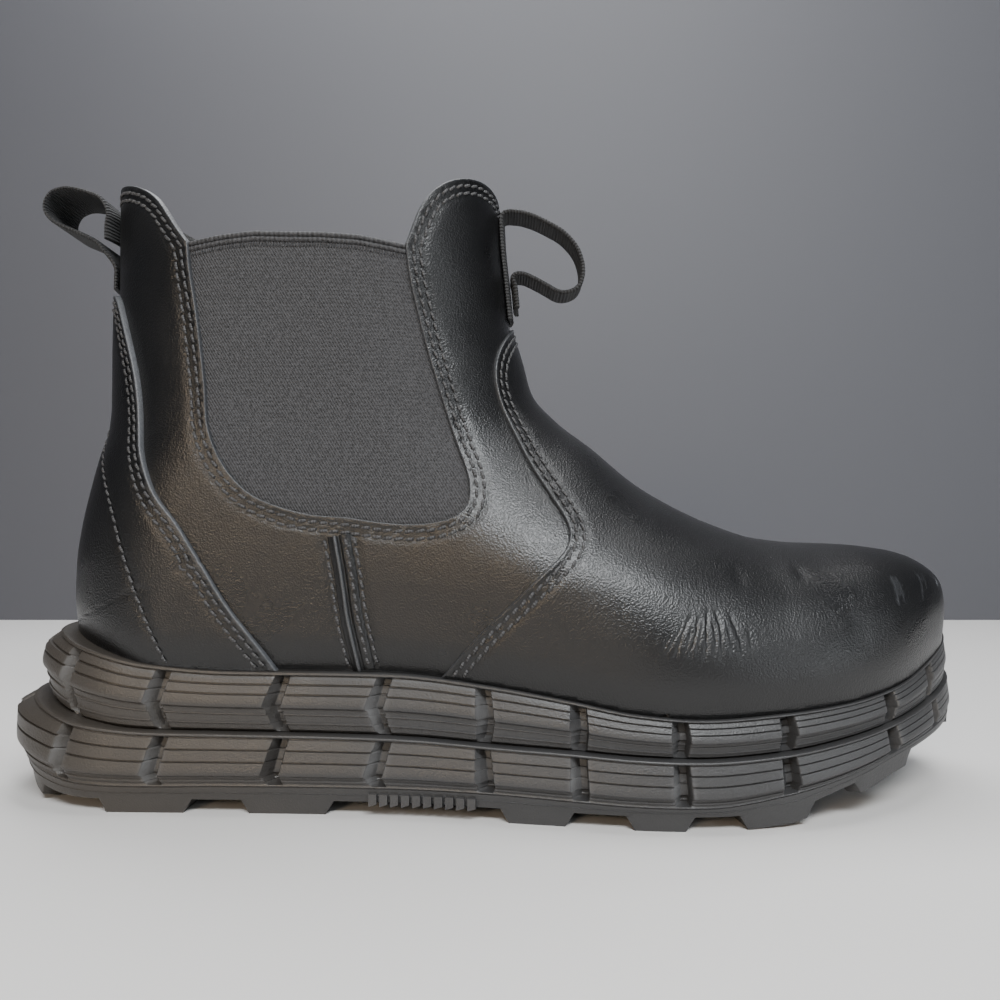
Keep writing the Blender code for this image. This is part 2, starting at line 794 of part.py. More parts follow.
class Skin:
    """Outer skin of the upper, read by share around and share along.

    Around runs from -1 at the sole or back on the outer side over 0 at the top line to 1 on the inner side.
    Along runs from 0 at the toe to 1 above the collar.
    """

    def __init__(self, count_along=170, count_around=81):
        self.front_share, self.front = side_line(FRONT_ROWS)
        self.back_share, self.back = side_line(BACK_ROWS)
        self.toe = float(self.front[:, 0].max()) + 0.001
        self.along = np.linspace(0.0, 1.0, count_along)
        self.around = np.linspace(-1.0, 1.0, 2 * count_around - 1)
        self.places = np.array([self.section(t, count_around) for t in self.along])
        self.normals = self.find_normals()

    def front_at(self, share):
        """Side view point of the top line at a share along it."""
        return np.array([np.interp(share, self.front_share, self.front[:, k]) for k in (0, 1)])

    def back_at(self, share):
        """Side view point of the back line at a share along it."""
        return np.array([np.interp(share, self.back_share, self.back[:, k]) for k in (0, 1)])

    def foot_of(self, t):
        """Side view point where a section line starts, on the feather line or the back line."""
        if t >= HEEL_TURN:
            return self.back_at((t - HEEL_TURN) / (1.0 - HEEL_TURN))
        start = float(place_of(FAN_START))
        heel = self.back[0, 0]
        x = start + (heel - start) * float(ease((t / HEEL_TURN) ** FAN_POWER))
        return np.array([x, float(sole_top(x)) + GAP])

    def breadth(self, x, z):
        """Sideways places of the skin on the outer and the inner side at side view points."""
        share = share_of(x)
        lift = z / BOOT_HEIGHT
        blend = ease((lift - BLEND_LOW) / (BLEND_HIGH - BLEND_LOW))
        tuck = FEATHER_TUCK * np.clip(1.0 - (z - GAP - sole_top(x)) / TUCK_HEIGHT, 0.0, 1.0) ** 2
        a = self.front[:-1, :2]
        d = self.front[1:, :2] - a
        px = x[:, None] - a[None, :, 0]
        pz = z[:, None] - a[None, :, 1]
        part = np.clip((px * d[:, 0] + pz * d[:, 1]) / (d ** 2).sum(axis=1), 0.0, 1.0)
        apart = np.hypot(px - part * d[:, 0], pz - part * d[:, 1])
        nearest = apart.argmin(axis=1)
        depth = apart.min(axis=1)
        shoulder = BALL_WIDTH * self.front[nearest, 2]
        top = 1.0 - np.clip(1.0 - depth / shoulder, 0.0, 1.0) ** 2
        back_x = np.interp(z, self.back[:, 1], self.back[:, 0])
        back_round = BALL_WIDTH * curve(SHAFT_ROWS, 3, lift)
        back = 1.0 - np.clip(1.0 - (x - back_x) / back_round, 0.0, 1.0) ** 2
        reach = TOE_ROUND * SOLE_LENGTH - UPPER_TOE_INSET
        tip = 1.0 - np.clip(1.0 - (self.toe - x) / reach, 0.0, 1.0) ** TOE_POWER
        small = 1e-9
        fill = 1.0 / (1.0 / (top + small) + 1.0 / (back + small) + 1.0 / (tip + small) - 2.0)
        fill = np.sqrt(np.clip(fill, 0.0, 1.0))
        sides = []
        for column, sign in ((1, -1.0), (2, 1.0)):
            foot = BALL_WIDTH * curve(WIDTH_ROWS, column, share) - UPPER_INSET
            shaft = BALL_WIDTH * curve(SHAFT_ROWS, column, lift)
            half = foot + (shaft - foot) * blend - tuck
            sides.append(swing(x) + sign * half * fill)
        return sides

    def hang(self, x, t):
        """Drop of a section line toward the curved feather line near the toe."""
        start = self.foot_of(0.0)
        tip = self.front_at(0.0)
        chord = start[1] + (tip[1] - start[1]) * (x - start[0]) / (tip[0] - start[0])
        drop = np.where((x > start[0]) & (x < tip[0]), sole_top(x) + GAP - chord, 0.0)
        return drop * max(0.0, 1.0 - t / 0.35) ** 2

    def section(self, t, count):
        """Evenly spaced points of one section from the outer foot over the top line to the inner foot."""
        foot = self.foot_of(t)
        head = self.front_at(t)
        part = 0.5 - 0.5 * np.cos(np.linspace(0.0, math.pi, 241))
        x = foot[0] + (head[0] - foot[0]) * part
        z = foot[1] + (head[1] - foot[1]) * part
        z = z + self.hang(x, t)
        outer, inner = self.breadth(x, z)
        if t >= HEEL_TURN:
            outer[0] = inner[0] = 0.0
        outer[-1] = inner[-1] = float(swing(x[-1]))
        near = self.even(np.column_stack([x, outer, z]), count)
        far = self.even(np.column_stack([x, inner, z]), count)
        return np.vstack([near, far[::-1][1:]])

    @staticmethod
    def even(line, count):
        """Line read again at even steps of its length."""
        run = np.concatenate([[0.0], np.cumsum(np.linalg.norm(np.diff(line, axis=0), axis=1))])
        steps = np.linspace(0.0, run[-1], count)
        return np.column_stack([np.interp(steps, run, line[:, k]) for k in range(3)])

    def find_normals(self):
        """Outward directions on the grid, shared across the closed back."""
        grid = self.places
        along = np.gradient(grid, axis=0)
        around = np.gradient(grid, axis=1)
        closed = self.along >= HEEL_TURN
        across = grid[closed, 1] - grid[closed, -2]
        around[closed, 0] = across
        around[closed, -1] = across
        normal = np.cross(around, along)
        size = np.linalg.norm(normal, axis=2)
        normal = normal / np.maximum(size, 1e-12)[..., None]
        normal[closed, 0, 1] = 0.0
        normal[closed, -1] = normal[closed, 0]
        return normal / np.linalg.norm(normal, axis=2)[..., None]

    def read(self, field, u, t):
        """Value of a grid field at shares around and along."""
        i = np.clip(np.asarray(t) * (len(self.along) - 1), 0.0, len(self.along) - 1.000001)
        j = np.clip((np.asarray(u) + 1.0) * 0.5 * (len(self.around) - 1), 0.0, len(self.around) - 1.000001)
        i0 = i.astype(int)
        j0 = j.astype(int)
        fi = (i - i0)[..., None]
        fj = (j - j0)[..., None]
        low = field[i0, j0] * (1.0 - fj) + field[i0, j0 + 1] * fj
        high = field[i0 + 1, j0] * (1.0 - fj) + field[i0 + 1, j0 + 1] * fj
        return low * (1.0 - fi) + high * fi

    def at(self, u, t, lift=0.0):
        """Point of the skin at shares around and along, lifted outward."""
        normal = self.read(self.normals, u, t)
        normal = normal / np.linalg.norm(normal, axis=-1)[..., None]
        return self.read(self.places, u, t) + normal * lift


# Spacing of the panel meshes
PANEL_STEP = 0.0112
EDGE_STEP = 0.0072


class Panels:
    """Triangles on the unrolled skin, cut along every panel outline."""

    def __init__(self, skin):
        self.skin = skin
        self.lines = []
        self.gore = self.smooth(GORE_ROWS)
        self.vamp = self.smooth(VAMP_ROWS)
        self.counter = self.smooth(COUNTER_ROWS)
        self.strip = self.smooth(STRIP_BACK_ROWS) + self.smooth(STRIP_FRONT_ROWS)
        self.rim = self.widen(self.gore, GORE_MARGIN)
        self.collar = self.collar_line()
        self.build()

    def spacing(self, a, b):
        """Length on the skin between two places."""
        start = self.skin.at(*a)
        end = self.skin.at(*b)
        return float(np.linalg.norm(end - start))

    def even(self, line, step):
        """Line on the skin read again at even steps of its length."""
        runs = [0.0]
        for a, b in zip(line, line[1:]):
            runs.append(runs[-1] + self.spacing(a, b))
        count = max(1, int(round(runs[-1] / step)))
        where = np.linspace(0.0, runs[-1], count + 1)
        u = np.interp(where, runs, [p[0] for p in line])
        t = np.interp(where, runs, [p[1] for p in line])
        return [(round(float(a), 6), round(float(b), 6)) for a, b in zip(u, t)]

    def smooth(self, rows, step=EDGE_STEP):
        """Smooth line through a table of places."""
        run = [0.0]
        for a, b in zip(rows, rows[1:]):
            run.append(run[-1] + math.hypot((b[0] - a[0]) * 0.13, (b[1] - a[1]) * 0.26))
        table = [(r, *row) for r, row in zip(run, rows)]
        dense = np.linspace(0.0, run[-1], 12 * len(rows))
        line = list(zip(curve(table, 1, dense), curve(table, 2, dense)))
        return self.even(line, step)

    def widen(self, line, margin):
        """Open line moved outward by a margin on the skin."""
        points = []
        for k, place in enumerate(line):
            a = line[max(0, k - 1)]
            b = line[min(len(line) - 1, k + 1)]
            du = (b[0] - a[0]) * 0.155
            dt = (b[1] - a[1]) * 0.30
            size = math.hypot(du, dt)
            points.append((place[0] + margin * dt / size / 0.155, place[1] - margin * du / size / 0.30))
        return self.even(points, EDGE_STEP)

    def collar_line(self):
        """Collar edge of the outer half, with the corners and rim ends of the gore as fixed places."""
        back = self.smooth(COLLAR_ROWS[:GORE_TOP_BACK + 1])
        top = self.even(COLLAR_ROWS[GORE_TOP_BACK:GORE_TOP_FRONT + 1], EDGE_STEP)
        front = self.smooth(COLLAR_ROWS[GORE_TOP_FRONT:])
        return back + top[1:] + front[1:]

    def flat(self, place):
        """Side view place of a skin place, measured evenly along its section."""
        u, t = place
        foot = self.skin.foot_of(t)
        head = self.skin.front_at(t)
        x = foot[0] + (head[0] - foot[0]) * (u + 1.0)
        z = foot[1] + (head[1] - foot[1]) * (u + 1.0)
        return np.array([x, z + self.skin.hang(x, t)])

    def build(self):
        """Triangulate the outer half with all outlines as fixed lines, then mirror it."""
        collar = self.collar
        back = collar.index(COLLAR_ROWS[GORE_TOP_BACK])
        front = collar.index(COLLAR_ROWS[GORE_TOP_FRONT])
        self.gore[0] = collar[back]
        self.gore[-1] = collar[front]
        rim = [p for p in self.rim if self.below_collar(p)]
        self.rim = [collar[back - 1]] + rim + [collar[front + 1]]
        low = self.even([(-1.0, t) for t in np.linspace(0.0, HEEL_TURN, 90)], EDGE_STEP)
        high = self.even([(-1.0, t) for t in np.linspace(HEEL_TURN, collar[0][1], 60)], EDGE_STEP)
        side = low + high[1:]
        for end in (self.vamp[-1], self.counter[-1], self.counter[0]):
            nearest = min(range(1, len(side) - 1), key=lambda k: abs(side[k][1] - end[1]))
            side[nearest] = (-1.0, end[1])
        ridge = self.even([(0.0, t) for t in np.linspace(0.0, collar[-1][1], 90)], EDGE_STEP)
        nearest = min(range(1, len(ridge) - 1), key=lambda k: abs(ridge[k][1] - self.vamp[0][1]))
        ridge[nearest] = self.vamp[0]
        bottom = self.even([(u, 0.0) for u in np.linspace(-1.0, 0.0, 60)], EDGE_STEP)
        outline = bottom + ridge[1:] + collar[::-1][1:] + side[::-1][1:-1]
        self.points = []
        self.numbers = {}
        self.edges = []
        ring = [self.number(p) for p in outline]
        self.edges.extend(zip(ring, ring[1:] + ring[:1]))
        for line in (self.gore, self.rim, self.vamp, self.counter):
            ids = [self.number(p) for p in line]
            self.edges.extend(zip(ids, ids[1:]))
        ids = [self.number(p) for p in self.strip]
        self.edges.extend(zip(ids, ids[1:] + ids[:1]))
        self.add_inside(PANEL_STEP)
        coords = [Vector(self.flat(p) * 1000.0) for p in self.points]
        result = delaunay_2d_cdt(coords, self.edges, [ring], 1, 1e-4)
        half = []
        for tri in result[2]:
            a, b, c = (result[0][v] for v in tri)
            ids = [result[3][v][0] for v in tri]
            if (b.x - a.x) * (c.y - a.y) - (b.y - a.y) * (c.x - a.x) < 0.0:
                ids.reverse()
            half.append(tuple(ids))
        mirror = {}
        for v, (u, t) in enumerate(list(self.points)):
            mirror[v] = self.number((-u, t)) if u < -1e-9 else v
        self.triangles = half + [tuple(mirror[v] for v in tri[::-1]) for tri in half]

    def number(self, place):
        """Number of a place, added once."""
        key = (round(float(place[0]), 6) + 0.0, round(float(place[1]), 6) + 0.0)
        if key not in self.numbers:
            self.numbers[key] = len(self.points)
            self.points.append(key)
        return self.numbers[key]

    def below_collar(self, place):
        """Whether a place lies clear below the collar edge."""
        us = [p[0] for p in self.collar]
        ts = [p[1] for p in self.collar]
        return place[1] < np.interp(place[0], us, ts) - 0.012

    def add_inside(self, step):
        """Spread places inside the outline, clear of every fixed line and of each other."""
        kept = []
        for a, b in self.edges:
            pa, pb = np.array(self.points[a]), np.array(self.points[b])
            for part in (0.0, 0.5):
                kept.append(self.skin.at(*(pa + (pb - pa) * part)))
        fixed = np.array(kept)
        free = []
        for t in np.linspace(0.02, 0.97, 72):
            count = 40
            for j in range(1, count + 1):
                u = -1.0 + j / count
                if not self.below_collar((u, t)):
                    continue
                place = self.skin.at(u, t)
                if np.linalg.norm(fixed - place, axis=1).min() < 0.60 * step:
                    continue
                if free and np.linalg.norm(np.array(free) - place, axis=1).min() < 0.92 * step:
                    continue
                if u > -0.01:
                    continue
                free.append(place)
                self.number((u, t))

    def inside(self, polygon, u, t):
        """Whether a place of the outer half lies inside a closed outline."""
        hit = False
        for (ax, ay), (bx, by) in zip(polygon, polygon[1:] + polygon[:1]):
            if (ay > t) != (by > t) and u < ax + (t - ay) * (bx - ax) / (by - ay):
                hit = not hit
        return hit

    def middles(self):
        """Middle of each triangle, folded to the outer half, with its side."""
        rows = []
        for tri in self.triangles:
            u = sum(self.points[v][0] for v in tri) / 3.0
            t = sum(self.points[v][1] for v in tri) / 3.0
            rows.append((-abs(u), t, u > 0.0))
        return rows

    def solid(self, layer_of):
        """Closed solid of the triangles that a layer function gives an inner and an outer lift."""
        layers = [layer_of(*middle) for middle in self.middles()]
        owner = {}
        for k, tri in enumerate(self.triangles):
            if layers[k] is None:
                continue
            for a, b in zip(tri, tri[1:] + tri[:1]):
                owner[(self.weld(a), self.weld(b))] = k
        lifts = {}
        for k, tri in enumerate(self.triangles):
            if layers[k] is not None:
                for v in tri:
                    lifts.setdefault(self.weld(v), set()).update(layers[k])
        solid = Solid()
        made = {}

        def corner(v, lift):
            key = (self.weld(v), lift)
            if key not in made:
                u, t = self.points[self.weld(v)]
                place = self.skin.at(u, t, lift)
                place[2] = max(place[2], float(sole_top(place[0])) + 1.5 * GAP)
                made[key] = solid.add([place])[0]
            return made[key]

        def between(v, low, high):
            return [x for x in sorted(lifts[self.weld(v)]) if low + 1e-9 < x < high - 1e-9]

        for k, tri in enumerate(self.triangles):
            if layers[k] is None:
                continue
            low, high = layers[k]
            solid.faces.append(tuple(corner(v, high) for v in tri))
            solid.faces.append(tuple(corner(v, low) for v in tri[::-1]))
            for a, b in zip(tri, tri[1:] + tri[:1]):
                other = owner.get((self.weld(b), self.weld(a)))
                if other is None:
                    parts = [(low, high)]
                else:
                    near_low, near_high = layers[other]
                    parts = []
                    if high > near_high:
                        parts.append((max(low, near_high), high))
                    if low < near_low:
                        parts.append((low, min(high, near_low)))
                for bottom, top in parts:
                    left = [corner(a, x) for x in reversed(between(a, bottom, top))]
                    right = [corner(b, x) for x in between(b, bottom, top)]
                    face = [corner(a, bottom), corner(b, bottom), *right, corner(b, top), corner(a, top), *left]
                    solid.faces.append(tuple(face))
        return solid

    def weld(self, v):
        """Number of the place that stands for this one on the closed back."""
        u, t = self.points[v]
        if u > 0.999999 and t >= HEEL_TURN - 1e-6:
            return self.numbers[(-1.0, t)]
        return v


def build_upper(panels, leather):
    """Hollow leather wall with the vamp as a step over the quarters."""
    vamp = panels.vamp + [(-1.0, 0.0), (0.05, 0.0), (0.05, VAMP_ROWS[0][1])]

    def layer(u, t, inner):
        if panels.inside(panels.gore, u, t):
            return None
        if panels.inside(vamp, u, t):
            return (-WALL, VAMP_STEP)
        return (-WALL, 0.0)

    return make_object("upper", panels.solid(layer), leather, 50.0)


def build_counter(panels, leather):
    """Leather overlay round the back of the heel."""

    def layer(u, t, inner):
        return (GAP, GAP + COUNTER_THICK) if panels.inside(panels.counter, u, t) else None

    return make_object("heel_counter", panels.solid(layer), leather, 50.0)


def build_gores(panels, elastic):
    """Elastic side panels behind the windows of the upper."""
    for name, side in (("gore_outer", False), ("gore_inner", True)):

        def layer(u, t, inner):
            if inner != side or not panels.inside(panels.rim, u, t):
                return None
            return (-WALL - GAP - GORE_THICK, -WALL - GAP)

        make_object(name, panels.solid(layer), elastic, 50.0)


def build_strips(panels, leather):
    """Raised seam strips from the gores down to the sole."""
    for name, side in (("side_seam_outer", False), ("side_seam_inner", True)):

        def layer(u, t, inner):
            if inner != side or not panels.inside(panels.strip, u, t):
                return None
            return (GAP, GAP + STRIP_THICK)

        make_object(name, panels.solid(layer), leather, 50.0)


def ribbon(name, path, width, sags, webbing):
    """Bent webbing along side view points, hollowed across by its sag at each point."""
    path = np.array(path)
    ahead = np.gradient(path, axis=0)
    ahead = ahead / np.hypot(ahead[:, 0], ahead[:, 1])[:, None]
    normal = np.column_stack([-ahead[:, 1], ahead[:, 0]])
    solid = Solid()
    rings = []
    across = (-1.0, -0.5, 0.0, 0.5, 1.0)
    for point, out, sag in zip(path, normal, sags):
        ring = []
        for side, parts in ((0.5, across), (-0.5, across[::-1])):
            for part in parts:
                shift = side * WEB_THICK - sag * part * part
                place = point + out * shift
                ring.append((place[0], part * 0.5 * width, place[1]))
        rings.append(solid.add(ring))
    count = len(rings[0])
    for a, b in zip(rings, rings[1:]):
        for i in range(count):
            j = (i + 1) % count
            solid.faces.append((a[i], a[j], b[j], b[i]))
    for ring, flip in ((rings[0], True), (rings[-1], False)):
        for i in range(4):
            face = (ring[i], ring[i + 1], ring[8 - i], ring[9 - i])
            solid.faces.append(face[::-1] if flip else face)
    if signed_volume(solid) < 0.0:
        solid.faces = [face[::-1] for face in solid.faces]
    return make_object(name, solid, webbing, 40.0)


def signed_volume(solid):
    """Volume of a closed solid, negative when it is inside out."""
    total = 0.0
    for face in solid.faces:
        a = np.array(solid.verts[face[0]])
        for i in range(1, len(face) - 1):
            b = np.array(solid.verts[face[i]])
            c = np.array(solid.verts[face[i + 1]])
            total += float(np.dot(a, np.cross(b, c))) / 6.0
    return total


def side_path(rows, step=0.0042):
    """Even side view points on a smooth line through a table of shares."""
    places = [(float(place_of(a)), BOOT_HEIGHT * b) for a, b in rows]
    run = [0.0]
    for a, b in zip(places, places[1:]):
        run.append(run[-1] + math.hypot(b[0] - a[0], b[1] - a[1]))
    table = [(r, *p) for r, p in zip(run, places)]
    where = np.linspace(0.0, run[-1], int(run[-1] / step) + 1)
    return list(zip(curve(table, 1, where), curve(table, 2, where)))


def on_line(skin, z, front, lift):
    """Side view point on the front or back line of the upper at a height, lifted outward."""
    line = skin.front[len(skin.front) // 2:] if front else skin.back
    x = float(np.interp(z, line[:, 1], line[:, 0]))
    return (x + lift, z) if front else (x - lift, z)


def heights(ends, count):
    """Even heights between two shares of the boot height."""
    return BOOT_HEIGHT * np.linspace(ends[0], ends[1], count)


def build_loops(skin, webbing):
    """Pull loops with their tapes on the front and on the back."""
    lift = GAP + 0.5 * WEB_THICK
    second = lift + WEB_THICK + GAP
    tape = [on_line(skin, z, True, lift) for z in heights(FRONT_TAPE, 9)]
    fold = [(tape[-1][0] + 0.0003, tape[-1][1] + 0.0012), (tape[-1][0] + 0.0017, tape[-1][1] + 0.0019)]
    loop = side_path(FRONT_LOOP_ROWS)
    end = [on_line(skin, z, True, second) for z in heights(FRONT_END, 4)]
    path = tape + fold + loop + end
    flat = FRONT_SAG
    sags = [flat] * len(tape) + [0.7 * flat, 0.4 * flat] + [0.0] * len(loop) + [0.6 * flat, flat, flat, flat]
    ribbon("pull_loop_front", path, FRONT_WEB_WIDTH, [-s for s in sags], webbing)
    tape = [on_line(skin, z, False, lift) for z in heights(REAR_TAPE, 3)]
    loop = side_path(REAR_LOOP_ROWS)
    end = [on_line(skin, z, False, lift) for z in heights(REAR_END, 3)]
    path = tape + loop + end
    flat = WEB_SAG
    sags = [flat, flat, 0.8 * flat] + [0.0] * len(loop) + [0.8 * flat, flat, flat]
    ribbon("pull_loop_rear", path, REAR_WEB_WIDTH, sags, webbing)


def build_insole(fabric):
    """Thin foot bed in the cup."""
    solid = Solid()
    outline = feather_outline(RIM_WIDTH + CUP_SLOPE + 0.0006)
    plan = outline.at((np.arange(64) + 0.5) / 64)
    low = foot_bed(plan[:, 0]) + GAP
    bottom = solid.add(np.column_stack([plan, low]))
    top = solid.add(np.column_stack([plan, low + INSOLE_THICK]))
    solid.band_between(top, bottom)
    solid.cap(top, [], True)
    solid.cap(bottom, [], False)
    return make_object("insole", solid, fabric)


def centre_on_floor():
    """Move every piece so that the middle of the whole footprint is the origin."""
    corners = [v.co for item in bpy.data.objects for v in item.data.vertices]
    for axis in (0, 1):
        low = min(c[axis] for c in corners)
        high = max(c[axis] for c in corners)
        for c in corners:
            c[axis] -= 0.5 * (low + high)


def main():
    """Build every piece of the boot."""
    for item in list(bpy.data.objects):
        bpy.data.objects.remove(item)
    rubber = material("rubber_sole", (0.045, 0.044, 0.044), 0.62)
    fabric = material("insole_fabric", (0.05, 0.05, 0.055), 0.9)
    build_outsole(rubber)
    build_midsole(rubber)
    build_insole(fabric)
    leather = material("leather_black", (0.012, 0.012, 0.013), 0.38)
    elastic = material("elastic_grey", (0.055, 0.055, 0.058), 0.85)
    webbing = material("webbing_black", (0.015, 0.015, 0.015), 0.8)
    skin = Skin()
    panels = Panels(skin)
    build_upper(panels, leather)
    build_counter(panels, leather)
    build_gores(panels, elastic)
    build_strips(panels, leather)
    build_loops(skin, webbing)
    centre_on_floor()


main()
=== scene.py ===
"""Side gore work boot for the right foot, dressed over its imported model."""
import logging
import math
from dataclasses import dataclass, field
from enum import Enum
from typing import Callable, Optional, Sequence

import bpy
import numpy as np
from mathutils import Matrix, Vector
from mathutils.geometry import delaunay_2d_cdt


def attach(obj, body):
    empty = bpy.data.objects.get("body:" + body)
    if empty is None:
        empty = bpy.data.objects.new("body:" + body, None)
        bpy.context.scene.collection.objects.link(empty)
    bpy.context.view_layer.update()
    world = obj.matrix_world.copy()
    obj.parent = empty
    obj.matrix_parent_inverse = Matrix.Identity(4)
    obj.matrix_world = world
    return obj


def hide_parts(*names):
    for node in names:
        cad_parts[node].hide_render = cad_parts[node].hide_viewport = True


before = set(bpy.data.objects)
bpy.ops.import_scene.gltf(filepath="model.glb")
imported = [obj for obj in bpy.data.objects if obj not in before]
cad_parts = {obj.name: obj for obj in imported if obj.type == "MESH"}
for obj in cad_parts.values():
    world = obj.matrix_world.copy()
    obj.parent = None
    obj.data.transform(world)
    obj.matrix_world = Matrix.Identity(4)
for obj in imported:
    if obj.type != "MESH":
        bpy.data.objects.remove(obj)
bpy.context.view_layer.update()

log = logging.getLogger("boot")

Place = tuple[float, float]
Row = tuple[float, ...]
Array = np.ndarray
Socket = bpy.types.NodeSocket

# Main sizes of the last in metres
SOLE_LENGTH = 0.2985
BALL_WIDTH = 0.108
HEEL_HEIGHT = 0.04
BOOT_HEIGHT = 0.19
TOE_SWING = 0.01
GAP = 0.0003
TOE_ROUND = 0.33
HEEL_ROUND = 0.135
TOE_POWER = 2.3
SHIFT = (0.00002, 0.00118)

# Share of the length from the heel, outer half and inner half as shares of the ball width
WIDTH_ROWS = (
    (0.0, 0.355, 0.345),
    (0.135, 0.368, 0.352),
    (0.3, 0.378, 0.335),
    (0.42, 0.4, 0.318),
    (0.54, 0.458, 0.365),
    (0.67, 0.505, 0.468),
    (0.78, 0.5, 0.49),
    (1.0, 0.5, 0.49),
)

# Share of the length, then ground, band, tier line, foot bed and top as shares of the heel height
HEIGHT_ROWS = (
    (0.0, 0.12, 0.32, 0.82, 1.0, 1.3),
    (0.05, 0.02, 0.262, 0.74, 0.98, 1.27),
    (0.11, 0.0, 0.2, 0.63, 0.96, 1.15),
    (0.17, 0.0, 0.188, 0.582, 0.95, 1.045),
    (0.25, 0.0, 0.195, 0.57, 0.945, 0.998),
    (0.4, 0.0, 0.195, 0.556, 0.93, 0.988),
    (0.5, 0.0, 0.195, 0.525, 0.862, 0.92),
    (0.57, 0.0, 0.178, 0.505, 0.79, 0.84),
    (0.63, 0.0, 0.163, 0.482, 0.712, 0.762),
    (0.69, 0.0, 0.16, 0.472, 0.672, 0.73),
    (0.76, 0.02, 0.22, 0.498, 0.68, 0.755),
    (0.83, 0.145, 0.325, 0.565, 0.715, 0.8),
    (0.89, 0.3, 0.452, 0.655, 0.77, 0.885),
    (0.95, 0.41, 0.555, 0.78, 0.85, 1.065),
    (1.0, 0.49, 0.63, 0.88, 0.93, 1.205),
)

# How round the side of a tier is, by share of the length
BULGE_ROWS = (
    (0.0, 1.15), (0.06, 1.15), (0.16, 1.05), (0.3, 1.0), (0.8, 1.0), (0.9, 0.6), (0.96, 0.3), (1.0, 0.2),
)

# Lean of the notches toward the toe at the widest line of a tier, in millimetres
LEAN_ROWS = (
    (0.0, -2.6), (0.4, -2.5), (0.48, 1.6), (0.52, 1.6), (0.6, 0.7), (0.75, 0.5), (1.0, 0.4),
)
NOTCH_SHARES = (0.093, 0.188, 0.302, 0.399, 0.49, 0.577, 0.668, 0.768, 0.879)

# Share down the tier, outset in rib depths, share of the notch depth, share of the lean
UPPER_TIER_ROWS = (
    (0.0, -1.45, 0.0, 0.0), (0.002, -0.8, 0.0, 0.0), (0.012, -0.66, 0.0, 0.0),
    (0.045, -0.62, 0.0, 0.0), (0.056, -0.7, 0.0, 0.0), (0.068, -0.9, 0.0, 0.0),
    (0.08, -0.86, 1.0, 0.1), (0.09, -0.8, 1.0, 0.1), (0.14, -0.68, 1.0, 0.2),
    (0.192, -0.57, 1.0, 0.3), (0.2, -0.8, 1.0, 0.3), (0.222, -0.76, 1.0, 0.4),
    (0.23, -0.51, 1.0, 0.4), (0.29, -0.39, 1.0, 0.5), (0.35, -0.27, 1.0, 0.6),
    (0.358, -0.5, 1.0, 0.6), (0.38, -0.46, 1.0, 0.7), (0.388, -0.21, 1.0, 0.7),
    (0.45, -0.1, 1.0, 0.8), (0.51, -0.02, 1.0, 0.9), (0.55, 0.0, 1.0, 1.0),
    (0.575, -0.05, 1.0, 1.0), (0.595, -0.2, 1.0, 1.0), (0.612, -0.4, 1.0, 0.9),
    (0.68, -0.49, 1.0, 0.8), (0.69, -0.4, 1.0, 0.8), (0.706, -0.39, 1.0, 0.8),
    (0.718, -0.53, 1.0, 0.7), (0.775, -0.6, 1.0, 0.6), (0.83, -0.66, 1.0, 0.5),
    (0.842, -0.55, 1.0, 0.5), (0.86, -0.55, 1.0, 0.5), (0.872, -0.72, 1.0, 0.4),
    (0.915, -0.76, 1.0, 0.3), (0.955, -0.8, 0.8, 0.2), (1.0, -1.2, 0.0, 0.0),
)
LOWER_TIER_ROWS = (
    (0.0, -1.45, 0.0, 0.0), (0.003, -0.86, 0.0, 0.0), (0.014, -0.7, 0.0, 0.0),
    (0.03, -0.65, 0.0, 0.0), (0.052, -0.66, 0.0, 0.0), (0.064, -0.76, 0.0, 0.0),
    (0.076, -0.9, 0.0, 0.0), (0.092, -0.86, 1.0, 0.1), (0.102, -0.78, 1.0, 0.1),
    (0.19, -0.64, 1.0, 0.2), (0.272, -0.52, 1.0, 0.4), (0.28, -0.75, 1.0, 0.4),
    (0.302, -0.72, 1.0, 0.4), (0.31, -0.47, 1.0, 0.4), (0.4, -0.36, 1.0, 0.5),
    (0.49, -0.25, 1.0, 0.6), (0.498, -0.48, 1.0, 0.7), (0.522, -0.45, 1.0, 0.7),
    (0.53, -0.2, 1.0, 0.7), (0.62, -0.08, 1.0, 0.8), (0.69, -0.01, 1.0, 0.9),
    (0.73, 0.0, 1.0, 1.0), (0.755, -0.06, 1.0, 1.0), (0.775, -0.22, 1.0, 1.0),
    (0.79, -0.4, 1.0, 1.0), (0.845, -0.52, 1.0, 0.9), (0.858, -0.43, 1.0, 0.9),
    (0.878, -0.43, 1.0, 0.8), (0.89, -0.58, 1.0, 0.8), (0.925, -0.66, 0.7, 0.7),
    (0.948, -0.64, 0.0, 0.6), (0.966, -0.6, 0.0, 0.4), (0.982, -0.7, 0.0, 0.2),
    (1.0, -0.78, 0.0, 0.0),
)

# Top line of the upper from toe to front tab: share of the length, of the height, shoulder by ball width
FRONT_ROWS = (
    (0.981, 0.258, 0.07), (0.9885, 0.28, 0.08), (0.987, 0.306, 0.095),
    (0.978, 0.334, 0.12), (0.962, 0.357, 0.165), (0.94, 0.376, 0.215),
    (0.91, 0.389, 0.255), (0.872, 0.394, 0.29), (0.83, 0.393, 0.33),
    (0.782, 0.4, 0.37), (0.735, 0.423, 0.4), (0.706, 0.4425, 0.415),
    (0.652, 0.4905, 0.43), (0.602, 0.5555, 0.44), (0.566, 0.5985, 0.45),
    (0.5385, 0.648, 0.46), (0.5285, 0.703, 0.475), (0.518, 0.762, 0.49),
    (0.5125, 0.84, 0.5), (0.5085, 0.9, 0.505), (0.5055, 1.01, 0.51),
)

